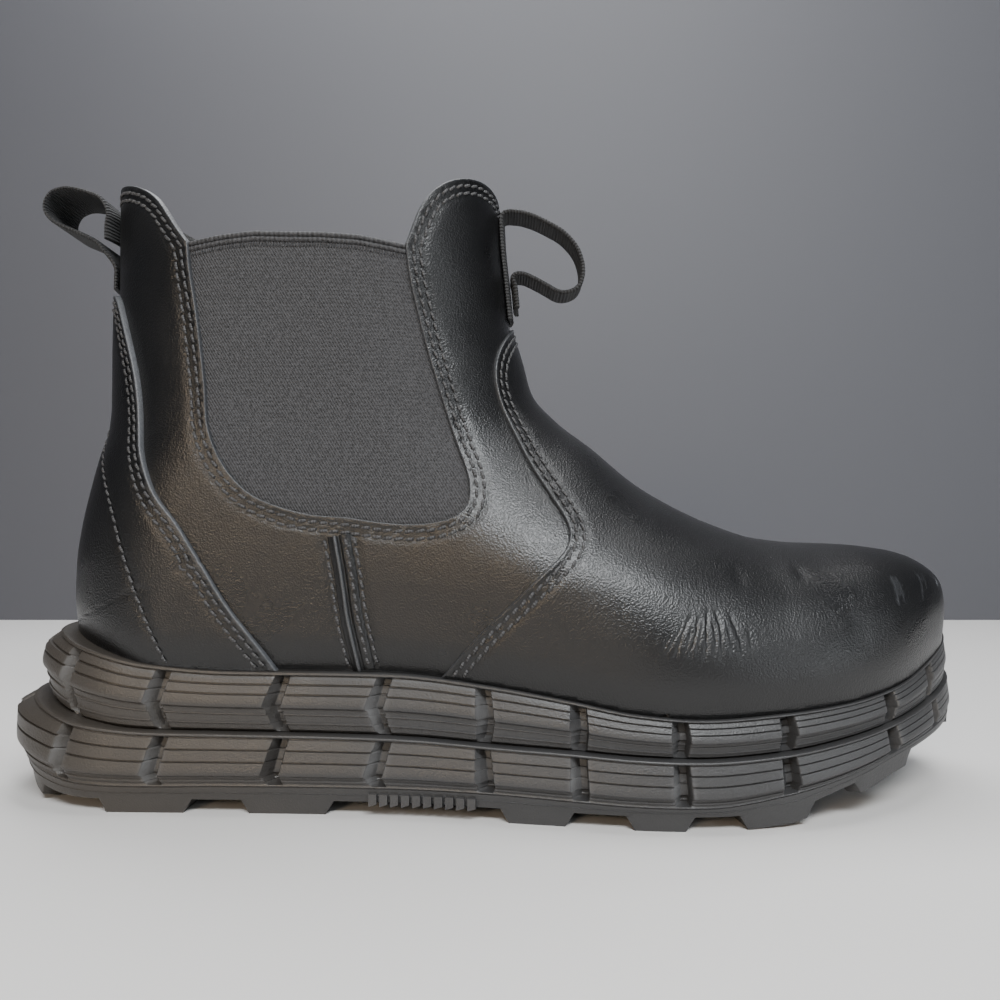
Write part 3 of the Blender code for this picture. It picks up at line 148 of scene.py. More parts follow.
# Back line of the upper from the heel up: share of the length, share of the height
BACK_ROWS = (
    (0.064, 0.268), (0.0625, 0.31), (0.0635, 0.365), (0.069, 0.425), (0.077, 0.48),
    (0.086, 0.535), (0.095, 0.58), (0.0975, 0.62), (0.0975, 0.7), (0.0985, 0.8),
    (0.0995, 0.9), (0.1005, 1.01),
)

# Shaft: share of the height, outer half, inner half and back roundness as shares of the ball width
SHAFT_ROWS = (
    (0.3, 0.335, 0.325, 0.345),
    (0.45, 0.325, 0.315, 0.35),
    (0.6, 0.32, 0.312, 0.4),
    (0.75, 0.33, 0.322, 0.47),
    (0.9, 0.345, 0.337, 0.5),
    (1.02, 0.35, 0.342, 0.5),
)

# Outlines on the skin of one side: share around (mirrored for the inner side) and share along
COLLAR_ROWS = (
    (-1.0, 0.984), (-0.924, 0.986), (-0.834, 0.978), (-0.784, 0.969), (-0.753, 0.96),
    (-0.727, 0.945), (-0.701, 0.929), (-0.686, 0.921), (-0.622, 0.921), (-0.558, 0.92),
    (-0.44, 0.912), (-0.371, 0.906), (-0.286, 0.894), (-0.278, 0.901), (-0.266, 0.92),
    (-0.245, 0.943), (-0.213, 0.961), (-0.167, 0.974), (-0.112, 0.98), (-0.055, 0.977),
    (0.0, 0.969),
)
GORE_TOP_BACK = 7
GORE_TOP_FRONT = 12

GORE_ROWS = (
    (-0.686, 0.921), (-0.683, 0.899), (-0.675, 0.879), (-0.667, 0.853), (-0.66, 0.826),
    (-0.65, 0.798), (-0.638, 0.774), (-0.617, 0.75), (-0.595, 0.73), (-0.57, 0.711),
    (-0.545, 0.694), (-0.5, 0.672), (-0.474, 0.649), (-0.464, 0.627), (-0.458, 0.603),
    (-0.444, 0.584), (-0.424, 0.571), (-0.388, 0.564), (-0.348, 0.571), (-0.312, 0.593),
    (-0.277, 0.619), (-0.251, 0.646), (-0.23, 0.689), (-0.234, 0.727), (-0.25, 0.774),
    (-0.268, 0.822), (-0.281, 0.86), (-0.286, 0.894),
)

VAMP_ROWS = (
    (0.0, 0.802), (-0.018, 0.797), (-0.055, 0.789), (-0.106, 0.767), (-0.131, 0.739),
    (-0.133, 0.704), (-0.145, 0.66), (-0.198, 0.599), (-0.225, 0.569), (-0.259, 0.534),
    (-0.293, 0.502), (-0.331, 0.479), (-0.38, 0.46), (-0.447, 0.444), (-0.587, 0.411),
    (-0.76, 0.373), (-1.0, 0.322),
)

COUNTER_ROWS = (
    (-1.0, 0.907), (-0.928, 0.907), (-0.882, 0.899), (-0.846, 0.875), (-0.818, 0.85),
    (-0.798, 0.826), (-0.775, 0.791), (-0.753, 0.768), (-0.729, 0.747), (-0.705, 0.726),
    (-0.685, 0.712), (-0.67, 0.701), (-0.661, 0.691), (-0.653, 0.679), (-0.646, 0.669),
    (-0.644, 0.659), (-0.674, 0.633), (-0.701, 0.612), (-0.728, 0.591), (-0.755, 0.57),
    (-0.783, 0.549), (-0.824, 0.519), (-0.877, 0.486), (-0.937, 0.456), (-1.0, 0.43),
)
COUNTER_SINGLE_ROWS = (
    (-0.913, 0.806), (-0.911, 0.796), (-0.867, 0.774), (-0.816, 0.747), (-0.783, 0.724),
    (-0.765, 0.703), (-0.753, 0.685), (-0.746, 0.667), (-0.823, 0.605), (-0.894, 0.559),
    (-0.935, 0.535), (-0.995, 0.504),
)
SEAM_ROWS = (
    (-0.515, 0.599), (-0.617, 0.534), (-0.731, 0.477), (-0.852, 0.426), (-0.99, 0.378),
)

# Loops in side view: share of the length, share of the height of the middle of the webbing
FRONT_LOOP_ROWS = (
    (0.523, 0.958), (0.532, 0.956), (0.5455, 0.949), (0.5602, 0.9375),
    (0.572, 0.927), (0.5815, 0.914), (0.59, 0.8965), (0.595, 0.876),
    (0.5965, 0.856), (0.594, 0.8385), (0.588, 0.827), (0.5771, 0.8215),
    (0.568, 0.824), (0.558, 0.833), (0.544, 0.845), (0.533, 0.8525),
    (0.525, 0.853), (0.5205, 0.848),
)
REAR_LOOP_ROWS = (
    (0.088, 0.885), (0.08, 0.899), (0.061, 0.914), (0.038, 0.93),
    (0.027, 0.947), (0.026, 0.964), (0.033, 0.981), (0.048, 0.988),
    (0.066, 0.983), (0.085, 0.97),
)


def curve(rows: Sequence[Row], column: int, share: Array) -> Array:
    """Read a smooth curve through one column of a table, without overshoot.

    Args:
        rows: The table, with rising values in its first column.
        column: The column to read.
        share: Places on the first column.

    Returns:
        The value at each place.
    """
    xs = np.array([row[0] for row in rows])
    ys = np.array([row[column] for row in rows])
    share = np.clip(np.asarray(share, dtype=float), xs[0], xs[-1])
    step = np.diff(xs)
    slope = np.diff(ys) / step
    tangent = np.zeros(len(xs))
    tangent[0] = slope[0]
    tangent[-1] = slope[-1]
    for i in range(1, len(xs) - 1):
        if slope[i - 1] * slope[i] > 0.0:
            a = 2.0 * step[i] + step[i - 1]
            b = step[i] + 2.0 * step[i - 1]
            tangent[i] = (a + b) / (a / slope[i - 1] + b / slope[i])
    k = np.clip(np.searchsorted(xs, share, side="right") - 1, 0, len(xs) - 2)
    h = step[k]
    p = (share - xs[k]) / h
    h00 = (1.0 + 2.0 * p) * (1.0 - p) ** 2
    h10 = p * (1.0 - p) ** 2
    h01 = p * p * (3.0 - 2.0 * p)
    h11 = p * p * (p - 1.0)
    return h00 * ys[k] + h10 * h * tangent[k] + h01 * ys[k + 1] + h11 * h * tangent[k + 1]


def spline(knots: Array, count: int = 24) -> Array:
    """Smooth line through points.

    Args:
        knots: The points, one row each.
        count: Steps between two of them.

    Returns:
        The points of the line.
    """
    ends = (2.0 * knots[:1] - knots[1:2], 2.0 * knots[-1:] - knots[-2:-1])
    knots = np.vstack([ends[0], knots, ends[1]])
    part = np.linspace(0.0, 1.0, count, endpoint=False)[:, None]
    pieces = []
    for a, b, c, d in zip(knots, knots[1:], knots[2:], knots[3:]):
        bend = (2.0 * a - 5.0 * b + 4.0 * c - d) * part ** 2 + (3.0 * b - a - 3.0 * c + d) * part ** 3
        pieces.append(0.5 * (2.0 * b + (c - a) * part + bend))
    return np.vstack([*pieces, knots[-2:-1]])


def run_of(points: Array) -> Array:
    """Length along a line at each of its points."""
    return np.concatenate([[0.0], np.cumsum(np.linalg.norm(np.diff(points, axis=0), axis=1))])


def read_at(where: Array, run: Array, points: Array) -> Array:
    """Points of a line at lengths along it."""
    return np.stack([np.interp(where, run, column) for column in points.T], axis=-1)


def unit(vectors: Array) -> Array:
    """Vectors brought to a length of one."""
    return vectors / np.maximum(np.linalg.norm(vectors, axis=-1, keepdims=True), 1e-12)


def between(start: Place, end: Place, part: Array) -> Array:
    """Places on a straight line at shares of its length."""
    return np.array(start) + (np.array(end) - np.array(start)) * part[:, None]


def relax(line: Array, passes: int) -> Array:
    """Even out a line in place, with its ends kept.

    Args:
        line: Points of the line, one row each.
        passes: How often each point moves toward the middle of its neighbours.

    Returns:
        The same line.
    """
    for _ in range(passes):
        line[1:-1] = 0.25 * line[:-2] + 0.5 * line[1:-1] + 0.25 * line[2:]
    return line


def fill(coords: Sequence[Vector], edges: Sequence[tuple], face: Sequence[int], up: bool = True) -> list:
    """Triangles that fill a face and follow the edges inside it.

    Args:
        coords: Flat places in millimetres.
        edges: Pairs of places that stay joined.
        face: Places round the face.
        up: Whether the triangles look up.

    Returns:
        The triangles, three numbers of places each.
    """
    spots, _, found, origins, *_ = delaunay_2d_cdt(coords, edges, [face], 1, 1e-5)
    triangles = []
    for tri in found:
        if any(not origins[v] for v in tri):
            continue
        ids = [origins[v][0] for v in tri]
        a, b, c = (spots[v] for v in tri)
        turn = (b.x - a.x) * (c.y - a.y) - (b.y - a.y) * (c.x - a.x)
        triangles.append(tuple(ids if (turn > 0.0) == up else ids[::-1]))
    return triangles


def ease(value: Array) -> Array:
    """Smooth step from zero to one."""
    value = np.clip(value, 0.0, 1.0)
    return value * value * (3.0 - 2.0 * value)


def share_of(x: Array) -> Array:
    """Share of the sole length at a place along it."""
    return np.asarray(x) / SOLE_LENGTH + 0.5


def place_of(share: Array) -> Array:
    """Place along the sole at a share of its length."""
    return (np.asarray(share) - 0.5) * SOLE_LENGTH


def swing(x: Array) -> Array:
    """Sideways swing of the centre line toward the inner side at the toe."""
    ahead = np.clip((share_of(x) - (1.0 - TOE_ROUND)) / TOE_ROUND, 0.0, 1.2)
    return TOE_SWING * ahead ** 2


class Level(Enum):
    """Height lines of the sole, by their column in the table."""

    GROUND = 1
    BAND = 2
    TIER = 3
    BED = 4
    TOP = 5

    def at(self, x: Array) -> Array:
        """Height of this line at a place along the sole."""
        return HEEL_HEIGHT * curve(HEIGHT_ROWS, self.value, share_of(x))


@dataclass
class MeshData:
    """Growing lists of one mesh piece."""

    verts: list = field(default_factory=list)
    faces: list = field(default_factory=list)
    flat: list = field(default_factory=list)
    mark: list = field(default_factory=list)

    def add(self, points: Array, flat: Optional[Array] = None, mark: Optional[Array] = None) -> list:
        """Add points with their unrolled places and marks.

        Args:
            points: Points, one row each.
            flat: Unrolled places in metres, or the side view when left out.
            mark: Pale mark of each point, for rubbed edges and painted highlights, or none.

        Returns:
            The numbers of the new points.
        """
        points = np.asarray(points, dtype=float)
        start = len(self.verts)
        flat = points[:, [0, 2]] if flat is None else np.asarray(flat, dtype=float)
        mark = np.zeros(len(points)) if mark is None else np.asarray(mark, dtype=float)
        self.verts.extend(points.tolist())
        self.flat.extend(flat.tolist())
        self.mark.extend(mark.tolist())
        return list(range(start, len(self.verts)))

    def band(self, upper: Sequence[int], lower: Sequence[int], closed: bool = True) -> None:
        """Add faces between two rings with the same number of points.

        Args:
            upper: Numbers of the upper ring.
            lower: Numbers of the lower ring.
            closed: Whether the rings close on themselves.
        """
        count = len(upper)
        for i in range(count if closed else count - 1):
            j = (i + 1) % count
            self.faces.append((lower[i], lower[j], upper[j], upper[i]))

    def tube(self, rings: Sequence[Sequence[int]]) -> None:
        """Add faces along a row of closed rings."""
        for a, b in zip(rings, rings[1:]):
            self.band(b, a)

    def turn_over(self) -> None:
        """Turn every face to look the other way."""
        self.faces = [face[::-1] for face in self.faces]

    def join(self, other: "MeshData") -> None:
        """Append another mesh piece.

        Args:
            other: The mesh that is added.
        """
        start = len(self.verts)
        self.verts.extend(other.verts)
        self.flat.extend(other.flat)
        self.mark.extend(other.mark)
        self.faces.extend(tuple(v + start for v in face) for face in other.faces)

    def build(self, name: str, material: bpy.types.Material, smooth: float = 40.0) -> bpy.types.Object:
        """Make the object, moved from the model to the row frame.

        Args:
            name: Name of the object.
            material: Its material.
            smooth: Angle in degrees above which an edge stays sharp.

        Returns:
            The new object.
        """
        mesh = bpy.data.meshes.new(name)
        points = np.array(self.verts, dtype=float)
        points[:, 0] += SHIFT[0]
        points[:, 1] += SHIFT[1]
        mesh.from_pydata(points.tolist(), [], self.faces)
        mesh.validate()
        mesh.materials.append(material)
        layer = mesh.uv_layers.new(name="Unrolled")
        numbers = np.zeros(len(mesh.loops), dtype=np.int32)
        mesh.loops.foreach_get("vertex_index", numbers)
        layer.data.foreach_set("uv", (np.array(self.flat)[numbers] * 10.0).astype(np.float32).ravel())
        # This mark holds rubbed edges and scuffs, and the painted highlights on the seam lips and notch
        # facets.
        wear = mesh.attributes.new("Wear", "FLOAT", "POINT")
        wear.data.foreach_set("value", np.array(self.mark, dtype=np.float32))
        mesh.shade_smooth()
        mesh.set_sharp_from_angle(angle=math.radians(smooth))
        item = bpy.data.objects.new(name, mesh)
        bpy.context.scene.collection.objects.link(item)
        return item


class Outline:
    """Closed plan curve read by share of its own length."""

    def __init__(self, heel_inset: float, toe_inset: float, side_inset: float) -> None:
        """Trace the sole outline, moved inward.

        Args:
            heel_inset: Inset behind the heel.
            toe_inset: Inset before the toe.
            side_inset: Inset at both sides.
        """
        heel = -0.5 * SOLE_LENGTH + heel_inset
        toe = 0.5 * SOLE_LENGTH - toe_inset
        turn = np.linspace(0.0, math.pi, 1600)
        x = 0.5 * (heel + toe) - 0.5 * (toe - heel) * np.cos(turn)
        share = share_of(x)
        toe_reach = TOE_ROUND * SOLE_LENGTH - toe_inset
        heel_reach = HEEL_ROUND * SOLE_LENGTH - heel_inset * 0.3
        toe_part = 1.0 - np.clip(1.0 - (toe - x) / toe_reach, 0.0, 1.0) ** TOE_POWER
        heel_part = 1.0 - np.clip(1.0 - (x - heel) / heel_reach, 0.0, 1.0) ** 2
        round_off = np.sqrt(np.clip(toe_part * heel_part, 0.0, 1.0))
        outer = BALL_WIDTH * curve(WIDTH_ROWS, 1, share) - side_inset
        inner = BALL_WIDTH * curve(WIDTH_ROWS, 2, share) - side_inset
        near = np.stack([x, swing(x) - outer * round_off], axis=1)
        far = np.stack([x, swing(x) + inner * round_off], axis=1)
        points = np.vstack([near, far[::-1][1:-1]])
        self.loop = np.vstack([points, points[:1]])
        self.along = run_of(self.loop)
        self.length = self.along[-1]

    def at(self, share: Array) -> Array:
        """Point of the curve at a share of its length."""
        return read_at(np.mod(share, 1.0) * self.length, self.along, self.loop)

    def outward(self, share: Array) -> Array:
        """Outward direction of the curve at a share of its length."""
        ahead = unit(self.at(np.asarray(share) + 0.0025) - self.at(np.asarray(share) - 0.0025))
        return np.stack([ahead[..., 1], -ahead[..., 0]], axis=-1)

    def share_at(self, share: float, outer: bool) -> float:
        """Find a place along the sole on this curve.

        Args:
            share: Share of the sole length.
            outer: Whether the place is on the outer side.

        Returns:
            The share of the curve's own length.
        """
        tip = int(np.argmax(self.loop[:, 0]))
        x = place_of(share)
        if outer:
            return float(np.interp(x, self.loop[:tip, 0], self.along[:tip])) / self.length
        return float(np.interp(x, self.loop[tip:, 0][::-1], self.along[tip:][::-1])) / self.length


def side_line(rows: Sequence[Row], count: int = 900) -> tuple[Array, Array]:
    """Dense side view line through a table of shares.

    Args:
        rows: Share of the length, share of the height and any further columns.
        count: Number of points on the line.

    Returns:
        The shares along the line, and its points with the further columns.
    """
    places = np.array([(float(place_of(row[0])), BOOT_HEIGHT * row[1]) for row in rows])
    places[0, 1] = float(Level.TOP.at(places[0, 0])) + GAP
    chord = run_of(places)
    table = [(c, p[0], p[1], *row[2:]) for c, p, row in zip(chord, places, rows)]
    along = np.linspace(0.0, chord[-1], count)
    columns = [curve(table, k, along) for k in range(1, len(table[0]))]
    return along / chord[-1], np.column_stack(columns)


@dataclass
class Skin:
    """Outer skin of the upper, read by share around and share along.

    Around runs from -1 at the sole or back on the outer side over 0 at the top line to 1 on the inner side.
    Along runs from 0 at the toe to 1 above the collar.
    """

    inset: float = 0.0042
    toe_inset: float = 0.0030
    tuck: float = 0.0022
    tuck_height: float = 0.011
    blend_low: float = 0.33
    blend_high: float = 0.62
    heel_turn: float = 0.66
    fan_start: float = 0.655
    fan_power: float = 1.30
    count_along: int = 420
    count_around: int = 141

    def __post_init__(self) -> None:
        """Work out the grid of the skin and its outward directions."""
        self.front_share, self.front = side_line(FRONT_ROWS)
        self.back_share, self.back = side_line(BACK_ROWS)
        self.toe = float(self.front[:, 0].max()) + 0.001
        self.along = np.linspace(0.0, 1.0, self.count_along)
        self.around = np.linspace(-1.0, 1.0, 2 * self.count_around - 1)
        self.feet = np.array([self.foot_of(t) for t in self.along])
        self.heads = np.array([self.front_at(t) for t in self.along])
        self.places = np.array([self.section(t, self.count_around) for t in self.along])
        self.normals = self.find_normals()

    def front_at(self, share: float) -> Array:
        """Side view point of the top line at a share along it."""
        return read_at(share, self.front_share, self.front[:, :2])

    def back_at(self, share: float) -> Array:
        """Side view point of the back line at a share along it."""
        return read_at(share, self.back_share, self.back)

    def foot_of(self, t: float) -> Array:
        """Find where a section line starts, on the feather line or the back line.

        Args:
            t: Share along.

        Returns:
            The side view point.
        """
        if t >= self.heel_turn:
            return self.back_at((t - self.heel_turn) / (1.0 - self.heel_turn))
        start = float(place_of(self.fan_start))
        heel = self.back[0, 0]
        x = start + (heel - start) * float(ease((t / self.heel_turn) ** self.fan_power))
        return np.array([x, float(Level.TOP.at(x)) + GAP])

    def breadth(self, x: Array, z: Array) -> list:
        """Find how far the skin reaches to the outer and the inner side.

        Args:
            x: Places along the sole.
            z: Heights.

        Returns:
            The sideways places on the outer and on the inner side.
        """
        share = share_of(x)
        lift = z / BOOT_HEIGHT
        blend = ease((lift - self.blend_low) / (self.blend_high - self.blend_low))
        tuck = self.tuck * np.clip(1.0 - (z - GAP - Level.TOP.at(x)) / self.tuck_height, 0.0, 1.0) ** 2
        a = self.front[:-1, :2]
        d = self.front[1:, :2] - a
        px = x[:, None] - a[None, :, 0]
        pz = z[:, None] - a[None, :, 1]
        part = np.clip((px * d[:, 0] + pz * d[:, 1]) / (d ** 2).sum(axis=1), 0.0, 1.0)
        apart = np.hypot(px - part * d[:, 0], pz - part * d[:, 1])
        nearest = apart.argmin(axis=1)
        depth = apart.min(axis=1)
        shoulder = BALL_WIDTH * self.front[nearest, 2]
        top = 1.0 - np.clip(1.0 - depth / shoulder, 0.0, 1.0) ** 2
        back_x = np.interp(z, self.back[:, 1], self.back[:, 0])
        back_round = BALL_WIDTH * curve(SHAFT_ROWS, 3, lift)
        back = 1.0 - np.clip(1.0 - (x - back_x) / back_round, 0.0, 1.0) ** 2
        reach = TOE_ROUND * SOLE_LENGTH - self.toe_inset
        tip = 1.0 - np.clip(1.0 - (self.toe - x) / reach, 0.0, 1.0) ** TOE_POWER
        small = 1e-9
        fill = 1.0 / (1.0 / (top + small) + 1.0 / (back + small) + 1.0 / (tip + small) - 2.0)
        fill = np.sqrt(np.clip(fill, 0.0, 1.0))
        sides = []
        for column, sign in ((1, -1.0), (2, 1.0)):
            foot = BALL_WIDTH * curve(WIDTH_ROWS, column, share) - self.inset
            shaft = BALL_WIDTH * curve(SHAFT_ROWS, column, lift)
            half = foot + (shaft - foot) * blend - tuck
            sides.append(swing(x) + sign * half * fill)
        return sides

    def hang(self, x: Array, t: Array) -> Array:
        """Drop of a section line toward the curved feather line near the toe.

        Args:
            x: Places along the sole.
            t: Share along.

        Returns:
            The change of height.
        """
        start = self.foot_of(0.0)
        tip = self.front_at(0.0)
        chord = start[1] + (tip[1] - start[1]) * (x - start[0]) / (tip[0] - start[0])
        drop = np.where((x > start[0]) & (x < tip[0]), Level.TOP.at(x) + GAP - chord, 0.0)
        return drop * np.maximum(0.0, 1.0 - t / 0.35) ** 2

    def section(self, t: float, count: int) -> Array:
        """Trace one section from the outer foot over the top line to the inner foot.

        Args:
            t: Share along.
            count: Points on each half.

        Returns:
            The points, evenly spaced on each half.
        """
        foot = self.foot_of(t)
        head = self.front_at(t)
        part = 0.5 - 0.5 * np.cos(np.linspace(0.0, math.pi, 301))
        x = foot[0] + (head[0] - foot[0]) * part
        z = foot[1] + (head[1] - foot[1]) * part
        z = z + self.hang(x, t)
        outer, inner = self.breadth(x, z)
        if t >= self.heel_turn:
            outer[0] = inner[0] = 0.0
        outer[-1] = inner[-1] = float(swing(x[-1]))
        near = self.even(np.column_stack([x, outer, z]), count)
        far = self.even(np.column_stack([x, inner, z]), count)
        return np.vstack([near, far[::-1][1:]])

    @staticmethod
    def even(line: Array, count: int) -> Array:
        """Line read again at even steps of its length."""
        run = run_of(line)
        return read_at(np.linspace(0.0, run[-1], count), run, line)

    def find_normals(self) -> Array:
        """Work out the outward directions, shared across the closed back.

        Returns:
            A direction of length one for each place of the grid.
        """
        grid = self.places
        along = np.gradient(grid, axis=0)
        around = np.gradient(grid, axis=1)
        closed = self.along >= self.heel_turn
        across = grid[closed, 1] - grid[closed, -2]
        around[closed, 0] = across
        around[closed, -1] = across
        normal = unit(np.cross(around, along))
        turn = int(self.heel_turn * (len(self.along) - 1))
        for columns in (slice(1, 40), slice(-40, -1)):
            relax(normal[turn - 26:turn + 12, columns], 30)
        normal[closed, 0, 1] = 0.0
        normal[closed, -1] = normal[closed, 0]
        return unit(normal)

    def read(self, values: Array, u: Array, t: Array) -> Array:
        """Read a field of the grid.

        Args:
            values: The field.
            u: Share around.
            t: Share along.

        Returns:
            Its values at those places.
        """
        i = np.clip(np.asarray(t) * (len(self.along) - 1), 0.0, len(self.along) - 1.000001)
        j = np.clip((np.asarray(u) + 1.0) * 0.5 * (len(self.around) - 1), 0.0, len(self.around) - 1.000001)
        i0 = i.astype(int)
        j0 = j.astype(int)
        fi = (i - i0)[..., None]
        fj = (j - j0)[..., None]
        low = values[i0, j0] * (1.0 - fj) + values[i0, j0 + 1] * fj
        high = values[i0 + 1, j0] * (1.0 - fj) + values[i0 + 1, j0 + 1] * fj
        return low * (1.0 - fi) + high * fi

    def normal(self, u: Array, t: Array) -> Array:
        """Outward direction at shares around and along."""
        return unit(self.read(self.normals, u, t))

    def at(self, u: Array, t: Array, lift: Array = 0.0) -> Array:
        """Point of the skin at shares around and along, lifted outward."""
        lift = np.asarray(lift, dtype=float)
        return self.read(self.places, u, t) + self.normal(u, t) * lift[..., None]

    def flat(self, u: Array, t: Array) -> Array:
        """Unroll places of the skin into the side view.

        Args:
            u: Share around.
            t: Share along.

        Returns:
            Side view places, measured evenly along their sections.
        """
        foot = read_at(t, self.along, self.feet)
        head = read_at(t, self.along, self.heads)
        place = foot + (head - foot) * (1.0 - np.abs(u))[..., None]
        place[..., 1] += self.hang(place[..., 0], t)
        return place


@dataclass
class Relief:
    """Soft height changes of the leather: pressed stitch lines, creases, troughs and ridges."""

    skin: Skin
    lines: list = field(default_factory=list)

    def line(self, rows: Array, depth: float, width: float, fade: float = 0.0) -> None:
        """Add a long dent or, with a negative depth, a long ridge.

        Args:
            rows: Places on the skin, share around and share along.
            depth: Depth at its middle in metres.
            width: Half width in metres.
            fade: Share of its length over which each end fades out.
        """
        self.lines.append((self.skin.flat(*rows.T), depth, width, fade))

    def at(self, u: Array, t: Array) -> Array:
        """Add up the height changes.

        Args:
            u: Share around.
            t: Share along.

        Returns:
            The height change at each place.
        """
        flat = self.skin.flat(u, t)
        total = np.zeros(len(flat))
        for line, depth, width, fade in self.lines:
            reach = 3.0 * width
            low = line.min(axis=0) - reach
            high = line.max(axis=0) + reach
            index = np.nonzero(np.all((flat > low) & (flat < high), axis=1))[0]
            if not len(index):
                continue
            apart, along = distance(flat[index], line)
            value = depth * np.exp(-((apart / width) ** 2))
            if fade:
                value = value * ease(along / fade) * ease((1.0 - along) / fade)
            total[index] -= value
        return total


def distance(points: Array, line: Array) -> tuple[Array, Array]:
    """Distance of points to an open line, and the share along it of the nearest place.

    Args:
        points: Points in a plane, one row each.
        line: Corner points of the line.

    Returns:
        The distances and the shares.
    """
    a = line[:-1]
    d = line[1:] - a
    size = np.maximum((d ** 2).sum(axis=1), 1e-18)
    run = np.concatenate([[0.0], np.cumsum(np.sqrt(size))])
    best = np.full(len(points), 1e9)
    share = np.zeros(len(points))
    for start in range(0, len(points), 4000):
        part = points[start:start + 4000]
        px = part[:, None, 0] - a[None, :, 0]
        py = part[:, None, 1] - a[None, :, 1]
        along = np.clip((px * d[:, 0] + py * d[:, 1]) / size, 0.0, 1.0)
        apart = np.hypot(px - along * d[:, 0], py - along * d[:, 1])
        k = apart.argmin(axis=1)
        rows = np.arange(len(part))
        best[start:start + 4000] = apart[rows, k]
        share[start:start + 4000] = (run[k] + along[rows, k] * np.sqrt(size[k])) / run[-1]
    return best, share


def inside(polygon: Array, points: Array) -> Array:
    """Whether each point lies inside a closed polygon.

    Args:
        polygon: Its corners.
        points: Points in the same plane.

    Returns:
        One answer for each point.
    """
    hit = np.zeros(len(points), dtype=bool)
    x, y = points.T
    for (ax, ay), (bx, by) in zip(polygon, np.roll(polygon, -1, axis=0)):
        if ay == by:
            continue
        hit ^= ((ay > y) != (by > y)) & (x < ax + (y - ay) * (bx - ax) / (by - ay))
    return hit


